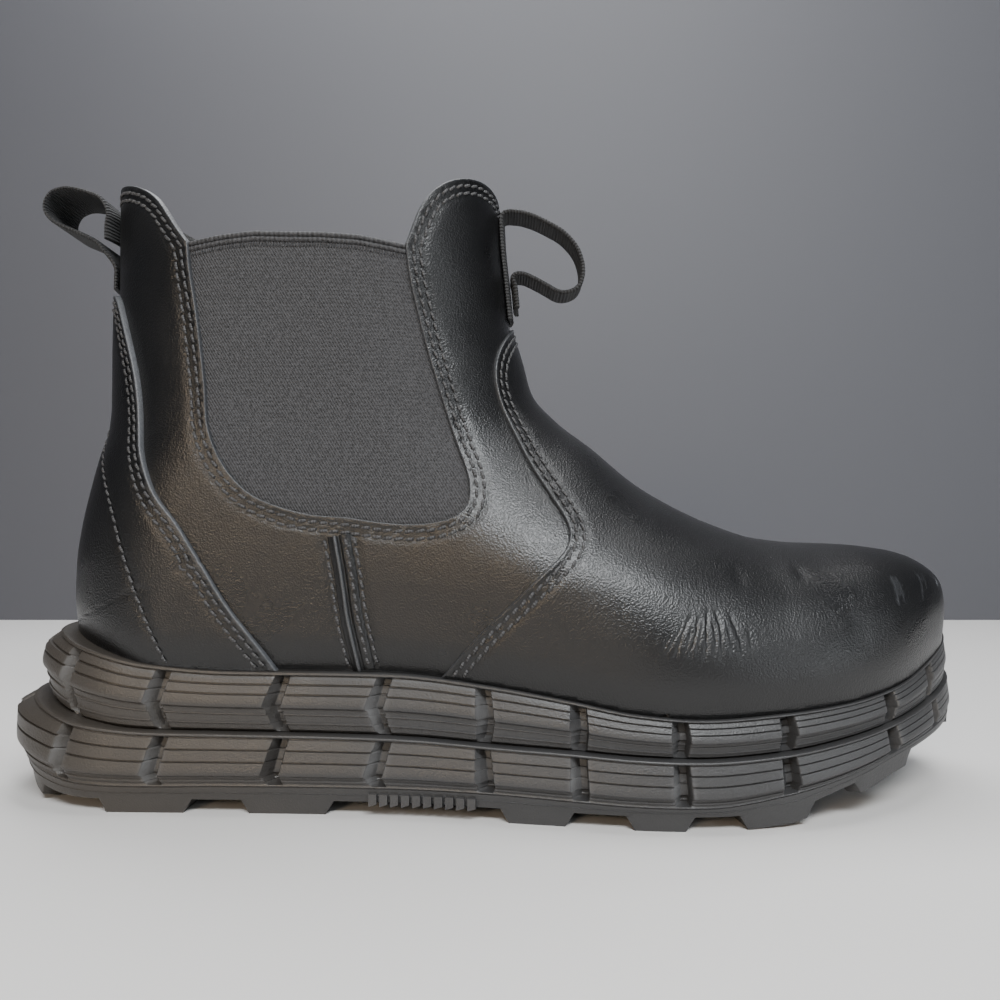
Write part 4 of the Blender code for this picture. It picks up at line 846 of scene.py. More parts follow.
@dataclass
class Pattern:
    """Cutting pattern of the upper: panel outlines on the skin and the meshes cut from them."""

    skin: Skin
    step: float = 0.0012
    edge: float = 0.0009

    def __post_init__(self) -> None:
        """Work out the lines that the panels share."""
        self.gore = self.smooth(GORE_ROWS)
        self.vamp = self.smooth(VAMP_ROWS)
        self.counter = self.smooth(COUNTER_ROWS)
        self.collar_back = self.smooth(COLLAR_ROWS[:GORE_TOP_BACK + 1])
        self.collar_top = self.even(np.array(COLLAR_ROWS[GORE_TOP_BACK:GORE_TOP_FRONT + 1]))
        self.collar_front = self.smooth(COLLAR_ROWS[GORE_TOP_FRONT:])
        self.spread = self.spread_places()

    def even(self, line: Array, step: Optional[float] = None) -> Array:
        """Read a line on the skin again at even steps.

        Args:
            line: Places on the skin.
            step: Length of a step, or the usual one.

        Returns:
            The new places.
        """
        run = run_of(self.skin.at(*line.T))
        count = max(2, int(round(run[-1] / (step or self.edge))) + 1)
        return read_at(np.linspace(0.0, run[-1], count), run, line)

    def smooth(self, rows: Sequence[Row]) -> Array:
        """Smooth line through a table of places, relaxed so that it has no small bumps.

        Args:
            rows: Share around and share along of each place.

        Returns:
            Evenly spaced places on the skin.
        """
        rows = np.array(rows, dtype=float)
        guess = np.clip(spline(rows), (-1.0, 0.0), (0.0, 1.0))
        dense = spline(self.skin.at(*rows.T))
        run = run_of(dense)
        where = np.linspace(0.0, run[-1], max(3, int(run[-1] / self.edge)))
        guess = read_at(where, run, guess)
        line = self.find(relax(read_at(where, run, dense), 22), guess)
        line[[0, -1]] = guess[[0, -1]]
        return self.even(line)

    def straight(self, a: Place, b: Place) -> Array:
        """Evenly spaced places on a straight line between two places."""
        return self.even(between(a, b, np.linspace(0.0, 1.0, 160)))

    def offset(self, line: Array, reach: float) -> Array:
        """Move a line sideways on the skin.

        Args:
            line: Places on the outer half.
            reach: How far to its left, as seen from outside.

        Returns:
            The new line, without the places that come too near the first one.
        """
        places = self.skin.at(*line.T)
        left = np.cross(self.skin.normal(*line.T), unit(np.gradient(places, axis=0)))
        moved = self.find(places + left * reach, line)
        spots = self.skin.at(*moved.T)
        apart = np.array([np.linalg.norm(places - spot, axis=1).min() for spot in spots])
        keep = (apart > abs(reach) * 0.96 - 0.00004) & (moved[:, 0] > -1.0 + 1e-5)
        return relax(self.even(moved[keep]), 8)

    def find(self, target: Array, start: Array) -> Array:
        """Find the places on the skin nearest to points, step by step.

        Args:
            target: Points close to the skin.
            start: First guess of their places.

        Returns:
            The places.
        """
        place = np.array(start, dtype=float)
        for _ in range(6):
            small = 1e-3
            here = self.skin.at(place[:, 0], place[:, 1])
            du = (self.skin.at(place[:, 0] + small, place[:, 1]) - here) / small
            dt = (self.skin.at(place[:, 0], place[:, 1] + small) - here) / small
            gap = target - here
            a = (du * du).sum(axis=1)
            b = (du * dt).sum(axis=1)
            c = (dt * dt).sum(axis=1)
            p = (du * gap).sum(axis=1)
            q = (dt * gap).sum(axis=1)
            det = np.maximum(a * c - b * b, 1e-12)
            place[:, 0] = np.clip(place[:, 0] + (c * p - b * q) / det, -1.0, 0.0)
            place[:, 1] = np.clip(place[:, 1] + (a * q - b * p) / det, 0.0, 1.0)
        return place

    def spread_places(self) -> Array:
        """Spread places over the outer half, six round each.

        Returns:
            The places, about one step apart in the side view.
        """
        t, u = np.meshgrid(np.linspace(0.0, 1.0, 900), np.linspace(-1.0, 0.0, 420), indexing="ij")
        t, u = t.ravel(), u.ravel()
        flat = self.skin.flat(u, t)
        row = self.step * math.sqrt(3.0) / 2.0
        level = np.round(flat[:, 1] / row).astype(int)
        column = np.round(flat[:, 0] / self.step - 0.5 * (level % 2)).astype(int)
        centre = np.column_stack([(column + 0.5 * (level % 2)) * self.step, level * row])
        apart = np.hypot(*(flat - centre).T)
        order = np.lexsort((apart, column, level))
        key = np.column_stack([level, column])[order]
        first = np.concatenate([[True], np.any(np.diff(key, axis=0) != 0, axis=1)])
        chosen = order[first]
        return np.column_stack([u[chosen], t[chosen]])

    def half(self, outline: Array, extra: Sequence[Array] = ()) -> tuple[Array, list, int]:
        """Triangulate one closed outline of the outer half.

        Args:
            outline: Places round the panel.
            extra: Further lines of places that the mesh follows.

        Returns:
            The places, the triangles and the number of outline places, which come first.
        """
        flat = self.skin.flat(outline[:, 0], outline[:, 1])
        closed = np.vstack([flat, flat[:1]])
        places = [outline]
        taken = [flat]
        for line in extra:
            points = self.skin.flat(line[:, 0], line[:, 1])
            keep = inside(flat, points)
            if keep.any():
                near, _ = distance(points, closed)
                keep &= near > 0.6 * self.edge
            places.append(line[keep])
            taken.append(points[keep])
        points = self.skin.flat(self.spread[:, 0], self.spread[:, 1])
        low, high = flat.min(axis=0), flat.max(axis=0)
        keep = np.all((points > low) & (points < high), axis=1)
        spread = self.spread[keep]
        points = points[keep]
        keep = inside(flat, points)
        spread, points = spread[keep], points[keep]
        near, _ = distance(points, closed)
        keep = near > 0.62 * self.step
        for line in extra:
            other = self.skin.flat(line[:, 0], line[:, 1])
            near, _ = distance(points, other)
            keep &= near > 0.5 * self.step
        places.append(spread[keep])
        places = np.vstack(places)
        coords = [Vector(p) for p in self.skin.flat(*places.T) * 1000.0]
        count = len(outline)
        edges = [(k, (k + 1) % count) for k in range(count)]
        return places, fill(coords, edges, list(range(count))), count


class Side(Enum):
    """Sides of the boot that a panel covers."""

    OUTER = -1
    INNER = 1
    BOTH = 0


@dataclass
class Panel:
    """One leather or cloth panel cut from the pattern, with rounded cut edges."""

    pattern: Pattern
    outline: Array
    low: float
    high: float
    side: Side = Side.BOTH
    bevel: float = 0.00035
    extra: Sequence[Array] = ()
    relief: Optional[Relief] = None
    inward: bool = False
    wear_reach: float = 0.0007
    edge_tone: float = 0.6
    scuffs: Sequence[tuple] = ()
    straight_weave: bool = False

    def mesh(self) -> MeshData:
        """Build the panel's mesh.

        Returns:
            The mesh, with the wear mark rising to one at the cut edges.
        """
        skin = self.pattern.skin
        places, triangles, rim = self.pattern.half(self.outline, self.extra)
        shared = self.shared(places[:rim])
        wear = self.wear(places, places[:rim][~shared])
        data = MeshData()
        numbers: dict = {}
        for side in (-1, 1) if self.side is Side.BOTH else (self.side.value,):
            u = places[:, 0] * -side
            t = places[:, 1]
            lift = np.full(len(places), self.high)
            if self.relief is not None:
                lift += self.relief.at(u, t)
            top = skin.at(u, t, lift)
            flat = top[:, [0, 2]] if self.straight_weave else skin.flat(u, t)
            base = top[:rim].copy()
            normal = skin.normal(u[:rim], t[:rim])
            ahead = unit(np.roll(base, -1, axis=0) - np.roll(base, 1, axis=0))
            pull = unit(np.cross(normal, ahead) * -side) * np.where(shared, 0.0, self.bevel)[:, None]
            top[:rim] += pull
            ids = data.add(self.floor(top), flat, wear)
            if self.side is Side.BOTH:
                for k in np.nonzero(shared)[0]:
                    ids[k] = numbers.setdefault(tuple(np.round(places[k], 5)), ids[k])
            for tri in triangles:
                face = tuple(ids[v] for v in tri)
                data.faces.append(face[::-1] if (side > 0) != self.inward else face)
            if not self.inward:
                self.cut_edge(data, ids[:rim], shared, (base, pull, normal, flat[:rim]), side)
        return data

    def cut_edge(self, data: MeshData, ids: list, shared: Array, lines: tuple, side: int) -> None:
        """Add the rounded cut edge down to the low side of the panel.

        Args:
            data: Mesh that gets the edge.
            ids: Numbers of the outline.
            shared: Which outline places have no cut edge.
            lines: The outline, its inward pull, its outward direction and its unrolled places.
            side: -1 for the outer side, 1 for the inner side.
        """
        base, pull, normal, flat = lines
        rings = [ids]
        drop = self.high - self.low
        for part, down, tone in ((0.30, 0.30 * self.bevel, 1.0), (0.0, self.bevel, 1.0), (0.0, drop, 0.75)):
            ring = self.floor(base + pull * part - normal * down)
            rings.append(data.add(ring, flat, np.full(len(ids), tone * self.edge_tone)))
        for above, below in zip(rings, rings[1:]):
            for k in range(len(ids)):
                j = (k + 1) % len(ids)
                if not (shared[k] and shared[j]):
                    face = (below[k], below[j], above[j], above[k])
                    data.faces.append(face if side < 0 else face[::-1])

    @staticmethod
    def floor(points: Array) -> Array:
        """Points held just above the top of the sole."""
        low = Level.TOP.at(points[:, 0]) + 0.4 * GAP
        return np.column_stack([points[:, :2], np.maximum(points[:, 2], low)])

    def shared(self, places: Array) -> Array:
        """Find the outline places on the line where both sides meet.

        Args:
            places: Places of the outline.

        Returns:
            One answer for each place.
        """
        ridge = np.abs(places[:, 0]) < 1e-6
        back = (places[:, 0] < -1.0 + 1e-6) & (places[:, 1] >= self.pattern.skin.heel_turn - 1e-6)
        return ridge | back if self.side is Side.BOTH else np.zeros(len(places), dtype=bool)

    def wear(self, places: Array, free: Array) -> Array:
        """Mark wear toward the cut edge and along the scuffs.

        Args:
            places: Places of the mesh.
            free: Places on the cut edge.

        Returns:
            The wear mark of each place.
        """
        skin = self.pattern.skin
        flat = skin.flat(*places.T)
        near = np.full(len(flat), 1.0)
        if len(free):
            edge = skin.flat(*free.T)
            for start in range(0, len(flat), 3000):
                part = flat[start:start + 3000]
                apart = np.hypot(part[:, None, 0] - edge[None, :, 0], part[:, None, 1] - edge[None, :, 1])
                near[start:start + 3000] = apart.min(axis=1)
        wear = 0.36 * self.edge_tone * np.clip(1.0 - near / self.wear_reach, 0.0, 1.0)
        for line, strength, width in self.scuffs:
            near, _ = distance(flat, skin.flat(*line.T))
            wear = np.maximum(wear, strength * np.exp(-((near / width) ** 2)))
        return wear


@dataclass
class Thread:
    """Sewn rows: short threads that dip into the leather at both ends."""

    pattern: Pattern
    pitch: float = 0.0031
    length: float = 0.0028
    radius: float = 0.00037
    slant: float = 0.16

    SHAPE = (
        (-0.50, -0.95, 0.45),
        (-0.36, 0.25, 0.95),
        (0.0, 0.62, 1.08),
        (0.36, 0.25, 0.95),
        (0.50, -0.95, 0.45),
    )

    def row(self, line: Array, lift: float, side: int) -> MeshData:
        """Stitches along one line of places.

        Args:
            line: Places on the outer half.
            lift: Height of the leather they lie on.
            side: -1 for the outer side, 1 for the inner side.

        Returns:
            The threads of the row.
        """
        skin = self.pattern.skin
        u = line[:, 0] * -side
        points = skin.at(u, line[:, 1], lift)
        normal = skin.normal(u, line[:, 1])
        run = run_of(points)
        data = MeshData()
        count = int(run[-1] / self.pitch)
        rest = (run[-1] - count * self.pitch) * 0.5
        for k in range(count):
            slant = self.length * (self.slant + 0.05 * math.sin(k * 2.399))
            rings = []
            for along, rise, fat in self.SHAPE:
                where = rest + (k + 0.5) * self.pitch + along * self.length
                out = unit(read_at(where, run, normal))
                ahead = unit(read_at(where + 0.0006, run, points) - read_at(where - 0.0006, run, points))
                across = unit(np.cross(out, ahead))
                place = read_at(where, run, points) + across * along * slant + out * rise * self.radius
                ring = self.ring(place, across * 1.15 * self.radius * fat, out * 0.85 * self.radius * fat, 6)
                rings.append(data.add(ring, np.array([[where, k * 0.01]] * 6)))
            data.tube(rings)
            data.faces.append(tuple(rings[0][::-1]))
            data.faces.append(tuple(rings[-1]))
        return data

    @staticmethod
    def ring(place: Array, across: Array, out: Array, count: int) -> Array:
        """Points round a place, as far off as two directions reach."""
        turn = np.linspace(0.0, 2.0 * math.pi, count + 1)[:-1, None]
        return place + across * np.cos(turn) + out * np.sin(turn)

    def bar(self, data: MeshData, start: Array, end: Array, out: Array, radius: float) -> None:
        """Add one short bent thread between two points.

        Args:
            data: Mesh that gets the thread.
            start: Where it comes out of the cloth.
            end: Where it goes back in.
            out: Direction away from the cloth.
            radius: Half its thickness.
        """
        across = np.cross(out, unit(end - start))
        rings = []
        for along, rise, fat in ((0.0, -0.8, 0.5), (0.2, 0.5, 1.0), (0.8, 0.5, 1.0), (1.0, -0.8, 0.5)):
            place = start + (end - start) * along + out * rise * radius
            rings.append(data.add(self.ring(place, across * radius * fat, out * radius * fat, 5)))
        data.tube(rings)


@dataclass
class Upper:
    """Leather upper with its elastic sides, seams and lining."""

    skin: Skin
    wall: float = 0.0019
    vamp_step: float = 0.0012
    counter_thick: float = 0.0015
    strip_half: float = 0.0033
    strip_high: float = 0.0010
    gore_drop: float = 0.0014
    row_near: float = 0.0021
    row_far: float = 0.0043
    seam_reach: float = 0.0042

    def __post_init__(self) -> None:
        """Lay out the pattern lines and the pressed seams."""
        skin = self.skin
        pattern = self.pattern = Pattern(skin)
        lines = (pattern.collar_front, pattern.gore[:-1], pattern.collar_back[:-1])
        self.opening = np.vstack([line[::-1] for line in lines])
        self.seam = pattern.smooth(SEAM_ROWS)
        self.single = pattern.smooth(COUNTER_SINGLE_ROWS)
        turn = (-1.0, skin.heel_turn)
        ridge = VAMP_ROWS[0][1]
        under = pattern.offset(pattern.vamp, 0.004)
        under = under[(under[:, 0] < -0.004) & (under[:, 0] > -0.995)]
        self.vamp_outline = self.ring(
            pattern.straight((-1.0, VAMP_ROWS[-1][1]), (-1.0, 0.0)),
            pattern.straight((-1.0, 0.0), (0.0, 0.0)),
            pattern.straight((0.0, 0.0), (0.0, ridge)),
            pattern.vamp,
        )
        self.quarter_outline = self.ring(
            pattern.straight(turn, (-1.0, float(under[-1, 1]))),
            under[::-1],
            pattern.straight((0.0, ridge - 0.012), (0.0, COLLAR_ROWS[-1][1])),
            self.opening,
            pattern.straight((-1.0, COLLAR_ROWS[0][1]), turn),
        )
        self.counter_outline = self.ring(
            pattern.straight(turn, (-1.0, COUNTER_ROWS[-1][1])),
            pattern.counter[::-1],
            pattern.straight((-1.0, COUNTER_ROWS[0][1]), turn),
        )
        self.gore_outline = self.ring(pattern.offset(pattern.gore, -0.0055), pattern.collar_top[::-1])
        self.rows = self.seam_rows()
        self.reliefs = {name: Relief(skin) for name in ("quarter", "vamp", "counter")}
        for key, name in (("gore", "quarter"), ("seam", "quarter"), ("vamp", "vamp"), ("counter", "counter")):
            for line, _ in self.rows[key]:
                self.reliefs[name].line(line[::3], 0.00042, 0.0008)
        self.creases = self.crease_lines()
        self.press(self.reliefs["vamp"])

    @staticmethod
    def ring(*lines: Array) -> Array:
        """Join lines into a closed outline without doubled places.

        Args:
            lines: Its lines in order.

        Returns:
            The places of the outline.
        """
        places = np.vstack(lines)
        keep = [0]
        for k in range(1, len(places)):
            if np.abs(places[k] - places[keep[-1]]).max() > 2e-5:
                keep.append(k)
        if np.abs(places[keep[-1]] - places[keep[0]]).max() < 2e-5:
            keep.pop()
        return places[keep]

    def seam_rows(self) -> dict:
        """Lay out the stitch rows.

        Returns:
            The rows by seam, each with the lift of the leather that they lie on.
        """
        pattern = self.pattern
        rows: dict = {"gore": [], "seam": [], "vamp": [], "counter": []}
        for reach in (self.row_near, self.row_far):
            rows["gore"].append((pattern.offset(self.opening, reach), 0.0))
            rows["vamp"].append((pattern.offset(pattern.vamp, reach), self.vamp_step))
            rows["counter"].append((pattern.offset(pattern.counter[::-1], reach), GAP + self.counter_thick))
        rows["counter"].append((self.single, GAP + self.counter_thick))
        for reach in (-self.seam_reach, self.seam_reach):
            rows["seam"].append((pattern.offset(self.seam, reach), 0.0))
        return rows

    def crease_lines(self) -> list:
        """Lay out the fan of fine creases where the foot bends.

        Returns:
            The creases, each with its depth.
        """
        rows = (
            (-0.5240, 0.3020, -0.7900, 0.2220, 0.00012, 0.50),
            (-0.5230, 0.2950, -0.8050, 0.2130, 0.00018, 0.30),
            (-0.5215, 0.2925, -0.8000, 0.2060, 0.00026, 0.08),
            (-0.5200, 0.2900, -0.7950, 0.1990, 0.00016, 0.34),
            (-0.5190, 0.2870, -0.7900, 0.1940, 0.00028, 0.10),
            (-0.5175, 0.2850, -0.7840, 0.1890, 0.00018, 0.28),
            (-0.5160, 0.2820, -0.7780, 0.1820, 0.00030, 0.00),
            (-0.5150, 0.2790, -0.7710, 0.1740, 0.00024, 0.20),
            (-0.5140, 0.2760, -0.7650, 0.1670, 0.00030, 0.00),
            (-0.5120, 0.2720, -0.7570, 0.1580, 0.00020, 0.26),
            (-0.5090, 0.2670, -0.7500, 0.1500, 0.00026, 0.05),
            (-0.5060, 0.2600, -0.7380, 0.1420, 0.00014, 0.40),
        )
        lines = []
        for k, (*ends, depth, start) in enumerate(rows):
            part = np.linspace(start, 1.0 - 0.35 * start, 44)
            line = between(ends[:2], ends[2:], part)
            line[:, 1] += 0.0006 * np.sin(part * 9.0 + k * 1.7) + 0.0003 * np.sin(part * 31.0 + k * 2.3)
            lines.append((line, depth))
        return lines

    def press(self, vamp: Relief) -> None:
        """Press creases and soft folds into the much-used vamp.

        Args:
            vamp: Height changes of the vamp.
        """
        for line, depth in self.creases:
            vamp.line(line, depth, 0.00034, 0.30)
            vamp.line(line + np.array([0.0, 0.0019]), -0.40 * depth, 0.00045, 0.30)
        folds = (
            ((-0.443, 0.148), (-0.569, 0.079), 0.00022),
            ((-0.436, 0.140), (-0.545, 0.074), 0.00018),
            ((-0.300, 0.330), (-0.420, 0.270), 0.00022),
            ((-0.250, 0.265), (-0.380, 0.215), 0.00026),
        )
        for top, low, depth in folds:
            vamp.line(between(top, low, np.linspace(0.0, 1.0, 14)), depth, 0.0018, 0.4)

    @staticmethod
    def scratches() -> list:
        """Lay out the pale scuffs on the toe.

        Returns:
            The scuffs, each with its strength and half width.
        """
        rows = (
            ((-0.288, 0.1480), (-0.366, 0.1120), 0.22, 0.00022),
            ((-0.282, 0.1430), (-0.345, 0.1100), 0.18, 0.00020),
            ((-0.226, 0.1210), (-0.290, 0.0930), 0.18, 0.00022),
            ((-0.210, 0.1170), (-0.250, 0.0980), 0.14, 0.00020),
            ((-0.172, 0.0900), (-0.178, 0.0870), 0.60, 0.00040),
            ((-0.443, 0.1480), (-0.560, 0.0830), 0.07, 0.00040),
            ((-0.437, 0.1430), (-0.545, 0.0790), 0.06, 0.00035),
            ((-0.150, 0.1350), (-0.185, 0.1180), 0.10, 0.00030),
        )
        part = np.linspace(0.0, 1.0, 40)
        return [(between(top, low, part), strength, width) for top, low, strength, width in rows]

    def build(self, finishes: "Finishes") -> list:
        """Cut and sew every piece.

        Args:
            finishes: Materials of the boot.

        Returns:
            The new objects with the CAD nodes that they stand for.
        """
        pattern = self.pattern
        scuffs = self.scratches()
        folds = [line for line, _ in self.creases]
        folds += [line + (0.0, shift) for line, _ in self.creases for shift in (-0.0012, 0.0012, 0.0022)]
        folds += [line + (0.0, shift) for line, _, _ in scuffs for shift in (-0.0008, 0.0, 0.0008)]
        wall, step, thick = self.wall, self.vamp_step, GAP + self.counter_thick
        seams = self.followed("gore") + self.followed("seam")
        quarter = Panel(pattern, self.quarter_outline, -wall, 0.0, Side.BOTH, 0.00030,
                        seams, self.reliefs["quarter"], edge_tone=0.34)
        vamp = Panel(pattern, self.vamp_outline, 0.0, step, Side.BOTH, 0.00040,
                     self.followed("vamp") + folds, self.reliefs["vamp"], edge_tone=0.26, scuffs=scuffs)
        counter = Panel(pattern, self.counter_outline, 0.0, thick, Side.BOTH, 0.00045,
                        self.followed("counter"), self.reliefs["counter"], edge_tone=0.50)
        made = [
            (quarter.mesh().build("quarters", finishes.leather, 50.0), ["upper"]),
            (vamp.mesh().build("vamp", finishes.leather, 50.0), ["upper"]),
            (counter.mesh().build("counter_leather", finishes.leather, 50.0), ["heel_counter"]),
        ]
        thread = Thread(pattern)
        sewn = MeshData()
        for side in (Side.OUTER, Side.INNER):
            word = side.name.lower()
            gore = Panel(pattern, self.gore_outline, -self.gore_drop - 0.0013, -self.gore_drop, side, 0.0002,
                         straight_weave=True).mesh()
            made.append((gore.build(f"elastic_{word}", finishes.elastic, 50.0), [f"gore_{word}"]))
            hem = self.hem(side, thread)
            made.append((hem.build(f"elastic_hem_{word}", finishes.binding, 50.0), [f"gore_{word}"]))
            strip = self.seam_strip(side)
            made.append((strip.build(f"seam_strip_{word}", finishes.leather, 60.0), [f"side_seam_{word}"]))
            sewn.join(thread.row(pattern.offset(self.seam, 0.0019), 0.00045, side.value))
        lining = MeshData()
        for outline in (self.quarter_outline, self.vamp_outline):
            lining.join(Panel(pattern, outline, -wall, -wall, bevel=0.0, inward=True).mesh())
        made.append((lining.build("lining", finishes.lining, 60.0), ["upper"]))
        for line, lift in (row for rows in self.rows.values() for row in rows):
            for side in (-1, 1):
                sewn.join(thread.row(line, lift - 0.00024, side))
        made.append((sewn.build("stitches", finishes.thread, 60.0), ["upper"]))
        return made

    def followed(self, key: str) -> list:
        """Lines that a panel's mesh follows beside its stitch rows."""
        return [line for line, _ in self.rows[key]]

    def hem(self, side: Side, thread: Thread) -> MeshData:
        """Bound top edge of the elastic: two round ribs and a fringe of short threads.

        Args:
            side: Side of the boot.
            thread: Thread that the fringe is sewn with.

        Returns:
            The mesh of the binding.
        """
        skin = self.skin
        line = self.pattern.even(self.pattern.collar_top, 0.0008)
        u = line[:, 0] * -side.value
        t = line[:, 1]
        base = skin.at(u, t, -self.gore_drop)
        down = unit(skin.at(u, t - 0.002, -self.gore_drop) - base)
        normal = skin.normal(u, t)
        shape = ((-0.15, -1.30), (-0.30, -0.60), (-0.25, 0.10), (0.00, 0.55), (0.35, 0.72), (0.75, 0.62),
                 (1.05, 0.30), (1.20, 0.06), (1.35, 0.30), (1.65, 0.60), (2.00, 0.66), (2.35, 0.50),
                 (2.60, 0.15), (2.70, -0.10))
        data = MeshData()
        rings = []
        for low, rise in shape:
            ring = base + down * (low * 0.001) + normal * (rise * 0.001)
            rings.append(data.add(ring, skin.flat(u, t) - (0.0, low * 0.001)))
        for a, b in zip(rings, rings[1:]):
            data.band(a, b, False)
        self.face_out(data, normal[len(line) // 2])
        for k in range(1, len(line) - 1):
            start = base[k] + down[k] * 0.0026
            thread.bar(data, start, start + down[k] * 0.0016, normal[k], 0.00024)
        return data

    def seam_strip(self, side: Side) -> MeshData:
        """Two turned edges that meet in a rough groove, from the gore down to the sole.

        Args:
            side: Side of the boot.

        Returns:
            The mesh of the strip.
        """
        skin = self.skin
        line = self.pattern.even(self.seam, 0.0012)
        u = line[:, 0] * -side.value
        t = line[:, 1]
        base = skin.at(u, t)
        normal = skin.normal(u, t)
        across = np.cross(normal, unit(np.gradient(base, axis=0)))
        shape = ((-1.00, -0.20), (-0.97, 0.02), (-0.85, 0.14), (-0.68, 0.35), (-0.50, 0.85), (-0.38, 1.10),
                 (-0.26, 1.00), (-0.16, 0.45), (-0.08, 0.05), (0.02, 0.00), (0.10, 0.35), (0.22, 0.60),
                 (0.45, 0.62), (0.68, 0.50), (0.86, 0.24), (0.97, 0.02), (1.00, -0.20))
        data = MeshData()
        rings = []
        for out, rise in shape:
            wave = 1.0 + 0.06 * np.sin(np.arange(len(line)) * 0.9 + out * 3.0)
            reach = out * self.strip_half
            ring = base + across * reach + normal * (rise * self.strip_high * wave)[:, None]
            # Pale band along the top of the left lip: a painted highlight on the raised lip, with a faint
            # mark on the rest of the strip.
            wear = np.full(len(line), 0.30 if -0.45 < out < -0.2 else 0.04)
            rings.append(data.add(ring, skin.flat(u, t) + (reach, 0.0), wear))
        for a, b in zip(rings, rings[1:]):
            data.band(a, b, False)
        self.face_out(data, normal[len(line) // 2])
        return data

    @staticmethod
    def face_out(data: MeshData, out: Array) -> None:
        """Turn a mesh over when most of it looks inward.

        Args:
            data: The mesh.
            out: Outward direction.
        """
        points = np.array(data.verts)
        a, b, c = (points[[face[k] for face in data.faces]] for k in range(3))
        if (np.cross(b - a, c - a) @ out).sum() < 0.0:
            data.turn_over()


